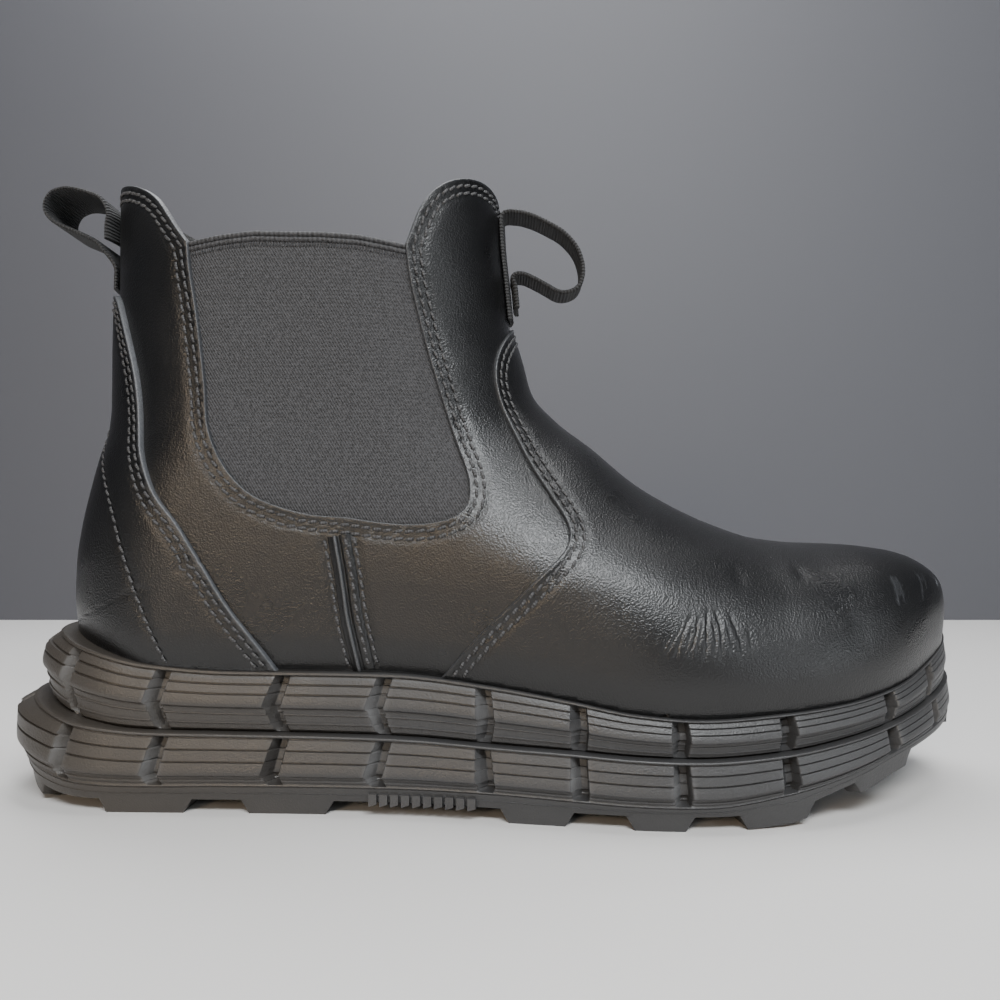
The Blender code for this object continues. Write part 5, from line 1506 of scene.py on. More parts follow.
@dataclass
class Sole:
    """Two tiers of ribbed rubber blocks with a lugged tread and the foot bed."""

    tier_inset: float = 0.0022
    tier_heel_inset: float = 0.0070
    tier_toe_inset: float = 0.0008
    rib_depth: float = 0.0025
    notch_depth: float = 0.0042
    heel_notch: float = 0.0145
    toe_notch: float = 0.0145
    toe_block: float = 0.0260
    lug_depth: float = 0.0038
    lug_slope: float = 0.0024
    lug_reach: float = 0.019
    column_step: float = 0.0014
    rim_width: float = 0.0062
    cup_slope: float = 0.0028
    upper_heel_x: float = 0.0188
    feather_toe: float = 0.0055
    feather_side: float = 0.0064
    insole_thick: float = 0.0030
    notch_spread: float = 0.0011
    shoulder_end: float = 0.11
    shoulder_drop: float = 0.0010
    shoulder_out: float = 0.0030
    shoulder_in: float = 0.0062
    shoulder_low: float = 0.27
    heel_lift: float = 0.0044
    heel_lift_reach: float = 0.10
    fin_start: float = 0.388
    fin_step: float = 0.00305
    fin_width: float = 0.0023
    fin_count: int = 10
    fin_low: float = 0.0031

    EDGE_LUGS = (
        (0.125, 0.215),
        (0.262, 0.350),
        (0.505, 0.572),
        (0.618, 0.680),
        (0.722, 0.795),
        (0.838, 0.905),
    )
    MIDDLE_LUGS = (
        (0.115, 0.045, 0.110, 0.0),
        (0.235, 0.050, 0.110, 0.0),
        (0.335, 0.045, 0.095, 0.0),
        (0.530, 0.045, 0.090, 0.03),
        (0.610, 0.055, 0.130, 0.03),
        (0.700, 0.055, 0.150, 0.03),
        (0.790, 0.055, 0.140, 0.06),
        (0.872, 0.045, 0.110, 0.09),
    )

    FIN_FACES = ((0, 1, 3, 2), (6, 7, 5, 4), (2, 3, 7, 6), (4, 5, 1, 0), (1, 5, 7, 3), (0, 2, 6, 4))

    def notch_centres(self, outline: Outline) -> list:
        """Find the middles of the notches, from the heel along the outer side and back.

        Args:
            outline: Plan outline of the tier.

        Returns:
            Their shares of the outline.
        """
        toe = outline.share_at(1.0, True)
        centres = [self.heel_notch / outline.length, 1.0 - self.heel_notch / outline.length]
        for reach in (self.toe_notch, self.toe_notch + self.toe_block):
            centres.extend([toe - reach / outline.length, toe + reach / outline.length])
        for share in NOTCH_SHARES:
            centres.extend([outline.share_at(share, True), outline.share_at(share, False)])
        return sorted(centres)

    def columns(self, outline: Outline) -> Array:
        """Lay out the columns round a tier.

        Args:
            outline: Plan outline of the tier.

        Returns:
            Outline share, share of the notch depth, of an edge's rounding and of its spread.
        """
        size = outline.length
        rows = []
        centres = self.notch_centres(outline)
        toe = outline.share_at(1.0, True)
        slope = ((-3.6, 0.0, 0.0, 0.6), (-2.35, 0.0, 0.3, 1.0), (-2.1, 0.03, 1.0, 1.0),
                 (-1.95, 0.1, 1.0, 1.0), (-1.2, 0.5, 0.8, 0.6), (-0.45, 0.92, 0.7, 0.1),
                 (-0.3, 1.0, 0.1, 0.0), (0.6, 1.0, 0.0, 0.0), (1.45, 1.0, 0.0, 0.0), (1.65, 0.9, 0.0, 0.0),
                 (1.9, 0.14, 0.1, 0.0), (2.0, 0.03, 0.6, 0.0), (2.2, 0.0, 0.3, 0.0), (3.6, 0.0, 0.0, 0.0))
        for k, centre in enumerate(centres):
            following = centres[k + 1] if k + 1 < len(centres) else centres[0] + 1.0
            ahead = 1.0 if centre < toe else -1.0
            for out, cut, lip, spread in slope[::int(ahead)]:
                rows.append((centre + 0.001 * out * ahead / size, cut, lip, -spread * ahead))
            start = centre + 0.0036 / size
            end = following - 0.0036 / size
            count = max(3, int((end - start) * size / self.column_step))
            for i in range(1, count):
                rows.append((start + (end - start) * i / count, 0.0, 0.0, 0.0))
        return np.array(rows)

    def tier(self, outline: Outline, rows: Sequence[Row], low: Callable, high: Callable,
             swell: float, room: Optional[Array] = None) -> tuple[MeshData, list, Array]:
        """Side of one tier.

        Args:
            outline: Plan outline of the tier.
            rows: Its side from the top edge down.
            low: Height of its bottom edge along the sole.
            high: Height of its top edge along the sole.
            swell: How far its top swells out behind the heel.
            room: Room between the outline and the upper, for each column.

        Returns:
            The mesh, the numbers of each ring and the columns.
        """
        columns = self.columns(outline)
        shares, cuts, lips, spreads = columns.T
        x = outline.at(shares)[:, 0]
        forward = -outline.outward(shares)[:, 1]
        lean = 0.001 * curve(LEAN_ROWS, 1, share_of(x)) / outline.length * forward
        data = MeshData()
        rings = []
        for down, outset, cut, slant in rows:
            widen = spreads * cut * max(0.0, outset + 0.85) * self.notch_spread / outline.length
            base = outline.at(shares + lean * slant + widen)
            out = outline.outward(shares + lean * slant)
            bulge = curve(BULGE_ROWS, 1, share_of(base[:, 0]))
            surface = outset * self.rib_depth
            detail = surface * (1.0 + (bulge - 1.0) * 0.85)
            depth = (self.notch_depth + 0.35 * detail) * cuts * cut
            heel = ease((self.shoulder_end - share_of(base[:, 0])) / self.shoulder_end)
            shift = detail - depth - 0.00035 * lips * cut + self.shoulder_out * heel * (1.0 - down) * swell
            shift = shift - self.shoulder_in * heel * max(0.0, 1.0 - down / self.shoulder_low)
            if room is not None and down < 0.075:
                shift = np.maximum(shift, -room)
            plan = base + out * shift[:, None]
            top = high(plan[:, 0])
            z = top + (low(plan[:, 0]) - top) * down - self.shoulder_drop * heel * (1.0 - down) ** 3
            flat = np.column_stack([shares * outline.length, np.full(len(shares), down * 0.02)])
            # Pale mark on the chamfered notch facets, strongest halfway down the tier: rubbed edges together
            # with a painted highlight on them.
            mark = np.clip(lips * 0.8 * (1.0 - np.abs(down - 0.55) * 1.2), 0.0, 1.0) * cut + 0.001
            rings.append(data.add(np.column_stack([plan, z]), flat, mark))
        for upper, lower in zip(rings, rings[1:]):
            data.band(upper, lower)
        return data, rings, columns

    def feather(self, inset: float) -> Outline:
        """Plan outline of the bottom edge of the upper, moved inward by an inset."""
        return Outline(self.upper_heel_x + inset, self.feather_toe + inset, self.feather_side + inset)

    def cup_ring(self, inset: float, level: Level, rise: float = 0.0, count: int = 220) -> Array:
        """Ring of points of the cup at an inset from the feather line."""
        plan = self.feather(inset).at((np.arange(count) + 0.5) / count)
        return np.column_stack([plan, level.at(plan[:, 0]) + rise])

    @staticmethod
    def cap(data: MeshData, numbers: Sequence[int], loops: Sequence[tuple], up: bool) -> None:
        """Close a ring.

        Args:
            data: Mesh of the ring.
            numbers: Numbers of the ring.
            loops: Further lines of numbers inside it, each with whether it is closed.
            up: Whether the faces look up.
        """
        seen: dict = {}
        edges = []
        for loop, closed in ((numbers, True), *loops):
            places = [seen.setdefault(number, len(seen)) for number in loop]
            ends = places[1:] + places[:1] if closed else places[1:]
            edges.extend(zip(places, ends))
        order = list(seen)
        coords = [Vector((data.verts[n][0] * 1000.0, data.verts[n][1] * 1000.0)) for n in order]
        for tri in fill(coords, edges, [seen[n] for n in numbers], up):
            data.faces.append(tuple(order[v] for v in tri))

    def midsole(self) -> MeshData:
        """Upper tier with a cup for the foot in its top.

        Returns:
            The mesh.
        """
        outline = Outline(self.tier_heel_inset, self.tier_toe_inset, self.tier_inset)
        room, _ = distance(outline.at(self.columns(outline)[:, 0]), self.feather(0.0).loop)
        data, rings, _ = self.tier(outline, UPPER_TIER_ROWS, lambda x: Level.TIER.at(x) + 0.5 * GAP,
                                   Level.TOP.at, 0.3, room - 2.0 * GAP)
        self.cap(data, rings[-1], [], False)
        loops = []
        for inset, level in ((self.rim_width, Level.TOP), (self.rim_width + self.cup_slope, Level.BED)):
            loops.append((data.add(self.cup_ring(inset, level)), True))
        foot = self.cup_ring(0.0, Level.TOP)
        rear = np.nonzero(share_of(foot[:, 0]) < self.shoulder_end + 0.04)[0]
        rear = rear[np.argsort(foot[rear, 1])]
        loops.append((data.add(foot[rear]), False))
        self.cap(data, rings[0], loops, True)
        return data

    def outsole(self) -> MeshData:
        """Lower tier with the tread under it.

        Returns:
            The mesh.
        """
        outline = Outline(0.0, 0.0, 0.0)
        data, rings, columns = self.tier(outline, LOWER_TIER_ROWS, Level.BAND.at,
                                         lambda x: Level.TIER.at(x) - 0.5 * GAP, 1.0)
        self.cap(data, rings[0], [], True)
        self.tread(data, outline, rings[-1], columns)
        self.fins(data, outline)
        return data

    def fins(self, data: MeshData, outline: Outline) -> None:
        """Row of upright fins in the recess under the waist, on both sides.

        Args:
            data: Mesh that gets the fins.
            outline: Plan outline of the tier.
        """
        for outer in (True, False):
            for k in range(self.fin_count):
                share = self.fin_start + k * self.fin_step / SOLE_LENGTH
                middle = outline.share_at(share, outer)
                half = 0.5 * self.fin_width / outline.length
                high = float(Level.BAND.at(place_of(share))) - 0.0007
                corners = []
                for where, lower in ((middle - half, 0.0), (middle + half, 0.0007)):
                    for out in (-1.6, -0.50):
                        plan = outline.at(where) + outline.outward(where) * (out * self.rib_depth)
                        corners.append((*plan, self.fin_low + lower))
                        corners.append((*plan, high - (0.0006 if out > -1.0 else 0.0)))
                v = data.add(corners, np.array([[middle * outline.length, 0.02]] * 8), np.full(8, 0.12))
                for face in self.FIN_FACES:
                    data.faces.append(tuple(v[n] for n in face))

    def tread(self, data: MeshData, outline: Outline, last: list, columns: Array) -> None:
        """Plain band with its parting line, and the lugs under it.

        Args:
            data: Mesh that gets them.
            outline: Plan outline of the tier.
            last: Numbers of the lowest ring of the tier.
            columns: Columns of the tier.
        """
        size = outline.length
        stations = []
        for outer in (True, False):
            for ends in self.EDGE_LUGS:
                stations.append(sorted(outline.share_at(end, outer) for end in ends))
        toe = outline.share_at(1.0, True)
        stations.extend([(0.018, 0.052), (0.948, 0.982)])
        stations.extend([(toe - 0.030, toe - 0.004), (toe + 0.004, toe + 0.030)])
        slope = self.lug_slope / size
        extra = [share for a, b in stations for share in (a, a + slope, b - slope, b)]
        shares = columns[:, 0] % 1.0
        keep = [s for s in shares if min(abs(s - e) for e in extra) > 0.0004 / size * 2.0]
        ring_share = np.array(sorted(keep + extra))
        mark = np.zeros(len(ring_share))
        for a, b in stations:
            rise = np.clip(np.minimum(ring_share - a, b - ring_share) / slope, 0.0, 1.0)
            mark = np.maximum(mark, np.where((ring_share >= a - 1e-9) & (ring_share <= b + 1e-9), rise, 0.0))
        base = outline.at(ring_share)
        out = outline.outward(ring_share)
        bulge = self.rib_depth * curve(BULGE_ROWS, 1, share_of(base[:, 0]))[:, None]
        rise = self.heel_rise(base[:, 0])
        high = Level.BAND.at(base[:, 0])
        ground = Level.GROUND.at(base[:, 0])
        rings = []
        for down, outset in ((0.03, -0.72), (0.40, -0.86), (0.43, -0.80), (0.47, -0.88), (0.92, -1.12)):
            z = high + (ground + self.lug_depth + 0.5 * rise - high) * down
            flat = np.column_stack([ring_share * size, np.full(len(ring_share), 0.02 + 0.004 * down)])
            rings.append(data.add(np.column_stack([base + out * outset * bulge, z]), flat))
        order = np.argsort(shares)
        self.zip(data, [last[k] for k in order], list(shares[order]), rings[0], list(ring_share))
        plan = base - 1.30 * out * bulge
        z = ground + np.where(mark > 0.99, rise, rise * 0.5 + self.lug_depth * (1.0 - mark))
        flat = np.column_stack([ring_share * size, np.full(len(ring_share), 0.03)])
        rings.append(data.add(np.column_stack([plan, z]), flat))
        for upper, lower in zip(rings, rings[1:]):
            data.band(upper, lower)
        self.lugs(data, outline, rings[-1], ring_share, mark, plan)

    def heel_rise(self, x: Array) -> Array:
        """How far the tread curves up behind the heel."""
        return self.heel_lift * np.clip(1.0 - share_of(x) / self.heel_lift_reach, 0.0, 1.0) ** 2

    @staticmethod
    def zip(data: MeshData, upper: list, upper_share: list, lower: list, lower_share: list) -> None:
        """Add faces between two rings with different points, matched by share.

        Args:
            data: Mesh of the rings.
            upper: Numbers of the upper ring.
            upper_share: Outline share of each of them.
            lower: Numbers of the lower ring.
            lower_share: Outline share of each of them.
        """
        i = 0
        j = 0
        n = len(upper)
        m = len(lower)
        while i < n or j < m:
            next_upper = upper_share[(i + 1) % n] + (1.0 if i + 1 >= n else 0.0)
            next_lower = lower_share[(j + 1) % m] + (1.0 if j + 1 >= m else 0.0)
            if j >= m or (i < n and next_upper <= next_lower):
                data.faces.append((lower[j % m], upper[(i + 1) % n], upper[i % n]))
                i += 1
            else:
                data.faces.append((lower[j % m], lower[(j + 1) % m], upper[i % n]))
                j += 1

    def lugs(self, data: MeshData, outline: Outline, tread: list, shares: Array,
             mark: Array, plan: Array) -> None:
        """Lug faces and the recesses between them, seen from below.

        Args:
            data: Mesh that gets them.
            outline: Plan outline of the tier.
            tread: Numbers of the lowest ring.
            shares: Its outline shares.
            mark: One where the ring lies on a lug, less on its slopes and zero between lugs.
            plan: Its plan places.
        """
        inward = -outline.outward(shares)
        count = len(tread)
        loops = []
        start = int(np.argmin(mark))
        k = 0
        while k < count:
            first = (start + k) % count
            k += 1
            if mark[first] > 1e-9 or mark[(start + k) % count] <= 1e-9:
                continue
            run = []
            while mark[(start + k) % count] > 1e-9:
                run.append((start + k) % count)
                k += 1
            end = (start + k) % count
            full = [i for i in run if mark[i] > 0.99]
            reach = self.lug_reach if 0.1 < share_of(plan[full[0]][0]) < 0.83 else 0.4 * self.lug_reach
            foot = (full[0], full[-1])
            for ends, inset, lift in (((first, end), 0.0, self.lug_depth), (foot, self.lug_slope, 0.0)):
                corners = [plan[i] + inward[i] * (reach - inset) for i in ends]
                a = data.add([(*p, Level.GROUND.at(p[0]) + lift) for p in corners])
                loops.append(([tread[ends[0]], a[0], a[1], tread[ends[1]]], False))
        for share, half_long, half_wide, side in self.MIDDLE_LUGS:
            centre = (float(place_of(share)), side * BALL_WIDTH)
            for shrink, lift in ((0.0, self.lug_depth), (self.lug_slope, 0.0)):
                long = half_long * BALL_WIDTH - shrink
                wide = half_wide * BALL_WIDTH - shrink
                corners = [(-long, -wide), (long, -0.7 * wide), (long, 0.7 * wide), (-long, wide)]
                places = [(centre[0] + dx, centre[1] + dy) for dx, dy in corners]
                loops.append((data.add([(x, y, float(Level.GROUND.at(x)) + lift) for x, y in places]), True))
        self.cap(data, tread, loops, False)

    def insole(self) -> MeshData:
        """Thin foot bed in the cup, with a rounded edge.

        Returns:
            The mesh.
        """
        data = MeshData()
        inset = self.rim_width + self.cup_slope + 0.0006
        rings = []
        high = self.insole_thick
        for step, rise in ((0.0, 0.0003), (0.0, high - 0.0008), (0.0004, high - 0.0002),
                           (0.0014, high + 0.0001), (0.006, high - 0.0003), (0.014, high - 0.0009)):
            rings.append(data.add(self.cup_ring(inset + step, Level.BED, rise)))
        for lower, upper in zip(rings, rings[1:]):
            data.band(upper, lower)
        self.cap(data, rings[-1], [], True)
        return data

    def build(self, finishes: "Finishes") -> list:
        """Mould the sole pieces.

        Args:
            finishes: Materials of the boot.

        Returns:
            The new objects with the CAD nodes that they stand for.
        """
        return [
            (self.outsole().build("outsole_rubber", finishes.rubber, 26.0), ["outsole"]),
            (self.midsole().build("midsole_rubber", finishes.rubber, 26.0), ["midsole"]),
            (self.insole().build("insole_cloth", finishes.insole, 50.0), ["insole"]),
        ]


@dataclass
class PullLoops:
    """Webbing loops sewn to the front and the back of the collar."""

    skin: Skin
    thick: float = 0.0013
    rear_width: float = 0.021
    front_width: float = 0.012
    sag: float = 0.0018
    front_sag: float = 0.0008
    front_tape: Place = (0.776, 0.947)
    front_end: Place = (0.838, 0.795)
    rear_tape: Place = (0.821, 0.858)
    rear_end: Place = (0.947, 0.903)
    step: float = 0.0009

    def on_line(self, z: float, front: bool, lift: float) -> Place:
        """Find a point on the front or back line of the upper.

        Args:
            z: Its height.
            front: Whether it is on the front line.
            lift: How far it is lifted outward.

        Returns:
            The side view point.
        """
        line = self.skin.front[len(self.skin.front) // 2:] if front else self.skin.back
        x = float(np.interp(z, line[:, 1], line[:, 0]))
        return (x + lift, z) if front else (x - lift, z)

    @staticmethod
    def heights(ends: Place, count: int) -> Array:
        """Even heights between two shares of the boot height."""
        return BOOT_HEIGHT * np.linspace(ends[0], ends[1], count)

    def ribbon(self, path: Sequence[Place], sags: Sequence[float], width: float) -> MeshData:
        """Bend webbing along side view points.

        Args:
            path: The points.
            sags: How far it is hollowed across at each point.
            width: Its width.

        Returns:
            The mesh.
        """
        dense = spline(np.column_stack([np.array(path, dtype=float), sags]), 16)
        run = run_of(dense[:, :2])
        where = np.linspace(0.0, run[-1], int(run[-1] / self.step) + 1)
        line = read_at(where, run, dense)
        sag = line[:, 2]
        line = line[:, :2]
        ahead = unit(np.gradient(line, axis=0))
        normal = np.column_stack([-ahead[:, 1], ahead[:, 0]])
        across = np.linspace(-1.0, 1.0, 25)
        data = MeshData()
        rings = []
        for k in range(len(line)):
            ring = []
            flat = []
            for face, parts in ((0.5, across), (-0.5, across[::-1])):
                for part in parts:
                    round_off = math.sqrt(max(0.0, 1.0 - max(0.0, (abs(part) - 0.93) / 0.07) ** 2))
                    shift = face * self.thick * (0.35 + 0.65 * round_off) - sag[k] * part * part
                    point = line[k] + normal[k] * shift
                    ring.append((point[0], part * 0.5 * width, point[1]))
                    flat.append((part * 0.5 * width + (0.05 if face > 0 else 0.10), where[k]))
            rings.append(data.add(np.array(ring), np.array(flat)))
        data.tube(rings)
        count = len(rings[0])
        for ring, flip in ((rings[0], True), (rings[-1], False)):
            for i in range(count // 2 - 1):
                face = (ring[i], ring[i + 1], ring[count - 2 - i], ring[count - 1 - i])
                data.faces.append(face[::-1] if flip else face)
        if self.volume(data) < 0.0:
            data.turn_over()
        return data

    @staticmethod
    def volume(data: MeshData) -> float:
        """Work out the volume of a closed mesh.

        Args:
            data: The mesh.

        Returns:
            Its volume, negative when it is inside out.
        """
        points = np.array(data.verts)
        total = 0.0
        for face in data.faces:
            a = points[face[0]]
            for i in range(1, len(face) - 1):
                total += float(np.dot(a, np.cross(points[face[i]], points[face[i + 1]]))) / 6.0
        return total

    def side_path(self, rows: Sequence[Row]) -> list:
        """Side view points through a table of shares."""
        return [(float(place_of(a)), BOOT_HEIGHT * b) for a, b in rows]

    def build(self, finishes: "Finishes") -> list:
        """Sew both loops.

        Args:
            finishes: Materials of the boot.

        Returns:
            The new objects with the CAD nodes that they stand for.
        """
        lift = GAP + 0.5 * self.thick
        second = lift + self.thick + GAP
        tape = [self.on_line(z, True, lift) for z in self.heights(self.front_tape, 9)]
        fold = [(tape[-1][0] + 0.0003, tape[-1][1] + 0.0012), (tape[-1][0] + 0.0017, tape[-1][1] + 0.0019)]
        loop = self.side_path(FRONT_LOOP_ROWS)
        end = [self.on_line(z, True, second) for z in self.heights(self.front_end, 4)]
        flat = self.front_sag
        sags = [-flat] * len(tape) + [-0.7 * flat, -0.4 * flat]
        sags += [0.0] * len(loop) + [-0.6 * flat] + [-flat] * 3
        front = self.ribbon(tape + fold + loop + end, sags, self.front_width)
        tape = [self.on_line(z, False, lift) for z in self.heights(self.rear_tape, 3)]
        loop = self.side_path(REAR_LOOP_ROWS)
        end = [self.on_line(z, False, lift) for z in self.heights(self.rear_end, 3)]
        flat = self.sag
        sags = [flat, flat, 0.8 * flat] + [0.0] * len(loop) + [0.8 * flat, flat, flat]
        rear = self.ribbon(tape + loop + end, sags, self.rear_width)
        return [
            (front.build("front_webbing", finishes.webbing, 50.0), ["pull_loop_front"]),
            (rear.build("rear_webbing", finishes.webbing, 50.0), ["pull_loop_rear"]),
        ]


class Graph:
    """Small helper that adds and joins nodes of one tree."""

    def __init__(self, tree: bpy.types.NodeTree) -> None:
        """Keep the tree to work on."""
        self.tree = tree

    def node(self, kind: str, **values: object) -> bpy.types.Node:
        """Add a node.

        Args:
            kind: Blender's name of its type.
            values: Its properties and sockets by name.

        Returns:
            The node.
        """
        node = self.tree.nodes.new(kind)
        for key, value in values.items():
            if hasattr(node, key):
                setattr(node, key, value)
            else:
                node.inputs[key.replace("_", " ")].default_value = value
        return node

    def link(self, source: Socket, target: Socket) -> None:
        """Join an output to an input."""
        self.tree.links.new(source, target)

    def feed(self, socket: Socket, value: object) -> None:
        """Set a socket to a number or a colour, or join another socket to it.

        Args:
            socket: The input.
            value: What it gets.
        """
        if isinstance(value, (int, float)):
            socket.default_value = value
        elif isinstance(value, tuple):
            socket.default_value = (*value, 1.0)
        else:
            self.link(value, socket)

    def math(self, kind: str, a: object, b: object = 0.0, clamp: bool = False) -> Socket:
        """Work out a value from two sockets or numbers.

        Args:
            kind: The operation.
            a: First value.
            b: Second value.
            clamp: Whether the result stays between zero and one.

        Returns:
            The result.
        """
        node = self.node("ShaderNodeMath", operation=kind, use_clamp=clamp)
        self.feed(node.inputs[0], a)
        self.feed(node.inputs[1], b)
        return node.outputs[0]

    def ramp(self, source: Socket, low: float, high: float, a: float = 0.0, b: float = 1.0) -> Socket:
        """Map a value from one range to another, held at both ends.

        Args:
            source: The value.
            low: Start of its range.
            high: End of its range.
            a: Result at the start.
            b: Result at the end.

        Returns:
            The result.
        """
        node = self.node("ShaderNodeMapRange", From_Min=low, From_Max=high, To_Min=a, To_Max=b)
        self.link(source, node.inputs["Value"])
        return node.outputs["Result"]

    def mix(self, factor: object, a: object, b: object) -> Socket:
        """Mix two colours.

        Args:
            factor: Share of the second colour.
            a: First colour.
            b: Second colour.

        Returns:
            The mixed colour.
        """
        node = self.node("ShaderNodeMix", data_type="RGBA")
        for number, value in ((0, factor), (6, a), (7, b)):
            self.feed(node.inputs[number], value)
        return node.outputs[2]

    def bump(self, height: Socket, shader: bpy.types.Node, strength: float, distance: float) -> None:
        """Raise a surface by a height.

        Args:
            height: The height, from zero to one.
            shader: Shader of the surface.
            strength: Strength of the relief.
            distance: Its depth in metres.
        """
        node = self.node("ShaderNodeBump", Strength=strength, Distance=distance)
        self.link(height, node.inputs["Height"])
        self.link(node.outputs["Normal"], shader.inputs["Normal"])


class Effects:
    """Node groups that several finishes share."""

    def __init__(self) -> None:
        """Build the groups once."""
        self.grain = self.make_grain()
        self.weave = self.make_weave()

    @staticmethod
    def group(name: str, inputs: Sequence[tuple], outputs: Sequence[tuple]) -> tuple:
        """Start a node group.

        Args:
            name: Name of the group.
            inputs: Name, kind and usual value of each input.
            outputs: Name and kind of each output.

        Returns:
            The group, its input node and its output node.
        """
        tree = bpy.data.node_groups.new(name, "ShaderNodeTree")
        for label, kind, value in inputs:
            socket = tree.interface.new_socket(label, in_out="INPUT", socket_type=kind)
            if value is not None:
                socket.default_value = value
        for label, kind in outputs:
            tree.interface.new_socket(label, in_out="OUTPUT", socket_type=kind)
        return tree, tree.nodes.new("NodeGroupInput"), tree.nodes.new("NodeGroupOutput")

    def make_grain(self) -> bpy.types.NodeTree:
        """Fine pebbled grain: height and a broken tone.

        Returns:
            The group.
        """
        tree, start, end = self.group(
            "Pebble grain",
            (("Place", "NodeSocketVector", None), ("Size", "NodeSocketFloat", 900.0)),
            (("Height", "NodeSocketFloat"), ("Tone", "NodeSocketFloat")),
        )
        graph = Graph(tree)
        cells = graph.node("ShaderNodeTexVoronoi", feature="SMOOTH_F1", Smoothness=0.6)
        fine = graph.node("ShaderNodeTexNoise", Detail=3.0)
        broad = graph.node("ShaderNodeTexNoise", Scale=45.0, Detail=4.0)
        for node in (cells, fine, broad):
            graph.link(start.outputs["Place"], node.inputs["Vector"])
        graph.link(start.outputs["Size"], cells.inputs["Scale"])
        graph.link(graph.math("MULTIPLY", start.outputs["Size"], 1.7), fine.inputs["Scale"])
        height = graph.math("ADD", graph.math("MULTIPLY", cells.outputs["Distance"], 0.7),
                            graph.math("MULTIPLY", fine.outputs["Fac"], 0.5))
        graph.link(height, end.inputs["Height"])
        graph.link(broad.outputs["Fac"], end.inputs["Tone"])
        return tree

    def make_weave(self) -> bpy.types.NodeTree:
        """Diagonal weave of fine yarns: height and yarn mask.

        Returns:
            The group.
        """
        tree, start, end = self.group(
            "Twill weave",
            (("Place", "NodeSocketVector", None), ("Across", "NodeSocketFloat", 900.0),
             ("Along", "NodeSocketFloat", 900.0), ("Slope", "NodeSocketFloat", 0.5)),
            (("Height", "NodeSocketFloat"), ("Yarn", "NodeSocketFloat")),
        )
        graph = Graph(tree)
        parts = graph.node("ShaderNodeSeparateXYZ")
        graph.link(start.outputs["Place"], parts.inputs[0])
        across = graph.math("MULTIPLY", parts.outputs["X"], start.outputs["Across"])
        along = graph.math("MULTIPLY", parts.outputs["Y"], start.outputs["Along"])
        slant = graph.math("ADD", across, graph.math("MULTIPLY", along, start.outputs["Slope"]))
        wave = graph.math("ADD", graph.math("MULTIPLY", graph.math("SINE", slant), 0.5), 0.5)
        rows = graph.math("ADD", graph.math("MULTIPLY", graph.math("SINE", along), 0.5), 0.5)
        height = graph.math("ADD", graph.math("MULTIPLY", wave, 0.65), graph.math("MULTIPLY", rows, 0.35))
        graph.link(height, end.inputs["Height"])
        graph.link(wave, end.inputs["Yarn"])
        return tree


@dataclass(frozen=True)
class Finish:
    """Common start of a finish: a named Principled material."""

    name: str

    def start(self) -> tuple:
        """Start a material.

        Returns:
            The material, its graph and its shader.
        """
        material = bpy.data.materials.new(self.name)
        material.use_nodes = True
        graph = Graph(material.node_tree)
        return material, graph, material.node_tree.nodes["Principled BSDF"]

    @staticmethod
    def grain(graph: Graph, effects: Effects, size: float) -> tuple:
        """Place the pebble grain on the object.

        Args:
            graph: Graph of the material.
            effects: The shared groups.
            size: Number of pebbles in a metre.

        Returns:
            The place and the group's node.
        """
        place = graph.node("ShaderNodeTexCoord").outputs["Object"]
        grain = graph.node("ShaderNodeGroup", node_tree=effects.grain, Size=size)
        graph.link(place, grain.inputs["Place"])
        return place, grain


@dataclass(frozen=True)
class LeatherFinish(Finish):
    """Black semi-gloss leather with pale cut edges and scuffs; the same pale colour paints a highlight along
    the seam lips.
    """

    colour: tuple = (0.0038, 0.0038, 0.0041)
    # Pale colour of rubbed cut edges and scuffs, also used as a painted highlight on the seam lips.
    worn_and_highlight: tuple = (0.135, 0.142, 0.155)
    roughness: float = 0.315

    def build(self, effects: Effects) -> bpy.types.Material:
        """Make the material.

        Args:
            effects: The shared groups.

        Returns:
            The material.
        """
        material, graph, shader = self.start()
        _, grain = self.grain(graph, effects, 1900.0)
        wear = graph.node("ShaderNodeAttribute", attribute_name="Wear")
        rub = graph.ramp(grain.outputs["Height"], 0.30, 0.75, 0.7, 1.25)
        fray = graph.math("MULTIPLY", wear.outputs["Fac"], rub)
        mask = graph.ramp(fray, 0.05, 1.0)
        # Pale mix: rubbed cut edges and scuffs, and a painted highlight along the seam lips.
        graph.link(graph.mix(mask, self.colour, self.worn_and_highlight), shader.inputs["Base Color"])
        rough = graph.ramp(grain.outputs["Tone"], 0.3, 0.7, self.roughness - 0.06, self.roughness + 0.07)
        graph.link(graph.math("ADD", rough, graph.math("MULTIPLY", mask, 0.35)), shader.inputs["Roughness"])
        graph.bump(grain.outputs["Height"], shader, 0.55, 0.00026)
        return material


@dataclass(frozen=True)
class ClothFinish(Finish):
    """Woven cloth, elastic or webbing."""

    colour: tuple = (0.045, 0.045, 0.048)
    light: tuple = (0.075, 0.075, 0.079)
    across: float = 900.0
    along: float = 700.0
    slope: float = 0.6
    roughness: float = 0.85
    depth: float = 0.00025

    def build(self, effects: Effects) -> bpy.types.Material:
        """Make the material.

        Args:
            effects: The shared groups.

        Returns:
            The material.
        """
        material, graph, shader = self.start()
        place = graph.node("ShaderNodeUVMap", uv_map="Unrolled").outputs["UV"]
        weave = graph.node("ShaderNodeGroup", node_tree=effects.weave,
                           Across=self.across, Along=self.along, Slope=self.slope)
        graph.link(place, weave.inputs["Place"])
        _, grain = self.grain(graph, effects, 1500.0)
        broken = graph.ramp(grain.outputs["Height"], 0.30, 0.75, -0.35, 0.75)
        yarn = graph.math("ADD", graph.math("MULTIPLY", weave.outputs["Yarn"], 0.6), broken, True)
        graph.link(graph.mix(yarn, self.colour, self.light), shader.inputs["Base Color"])
        shader.inputs["Roughness"].default_value = self.roughness
        graph.bump(weave.outputs["Height"], shader, 0.8, self.depth)
        return material


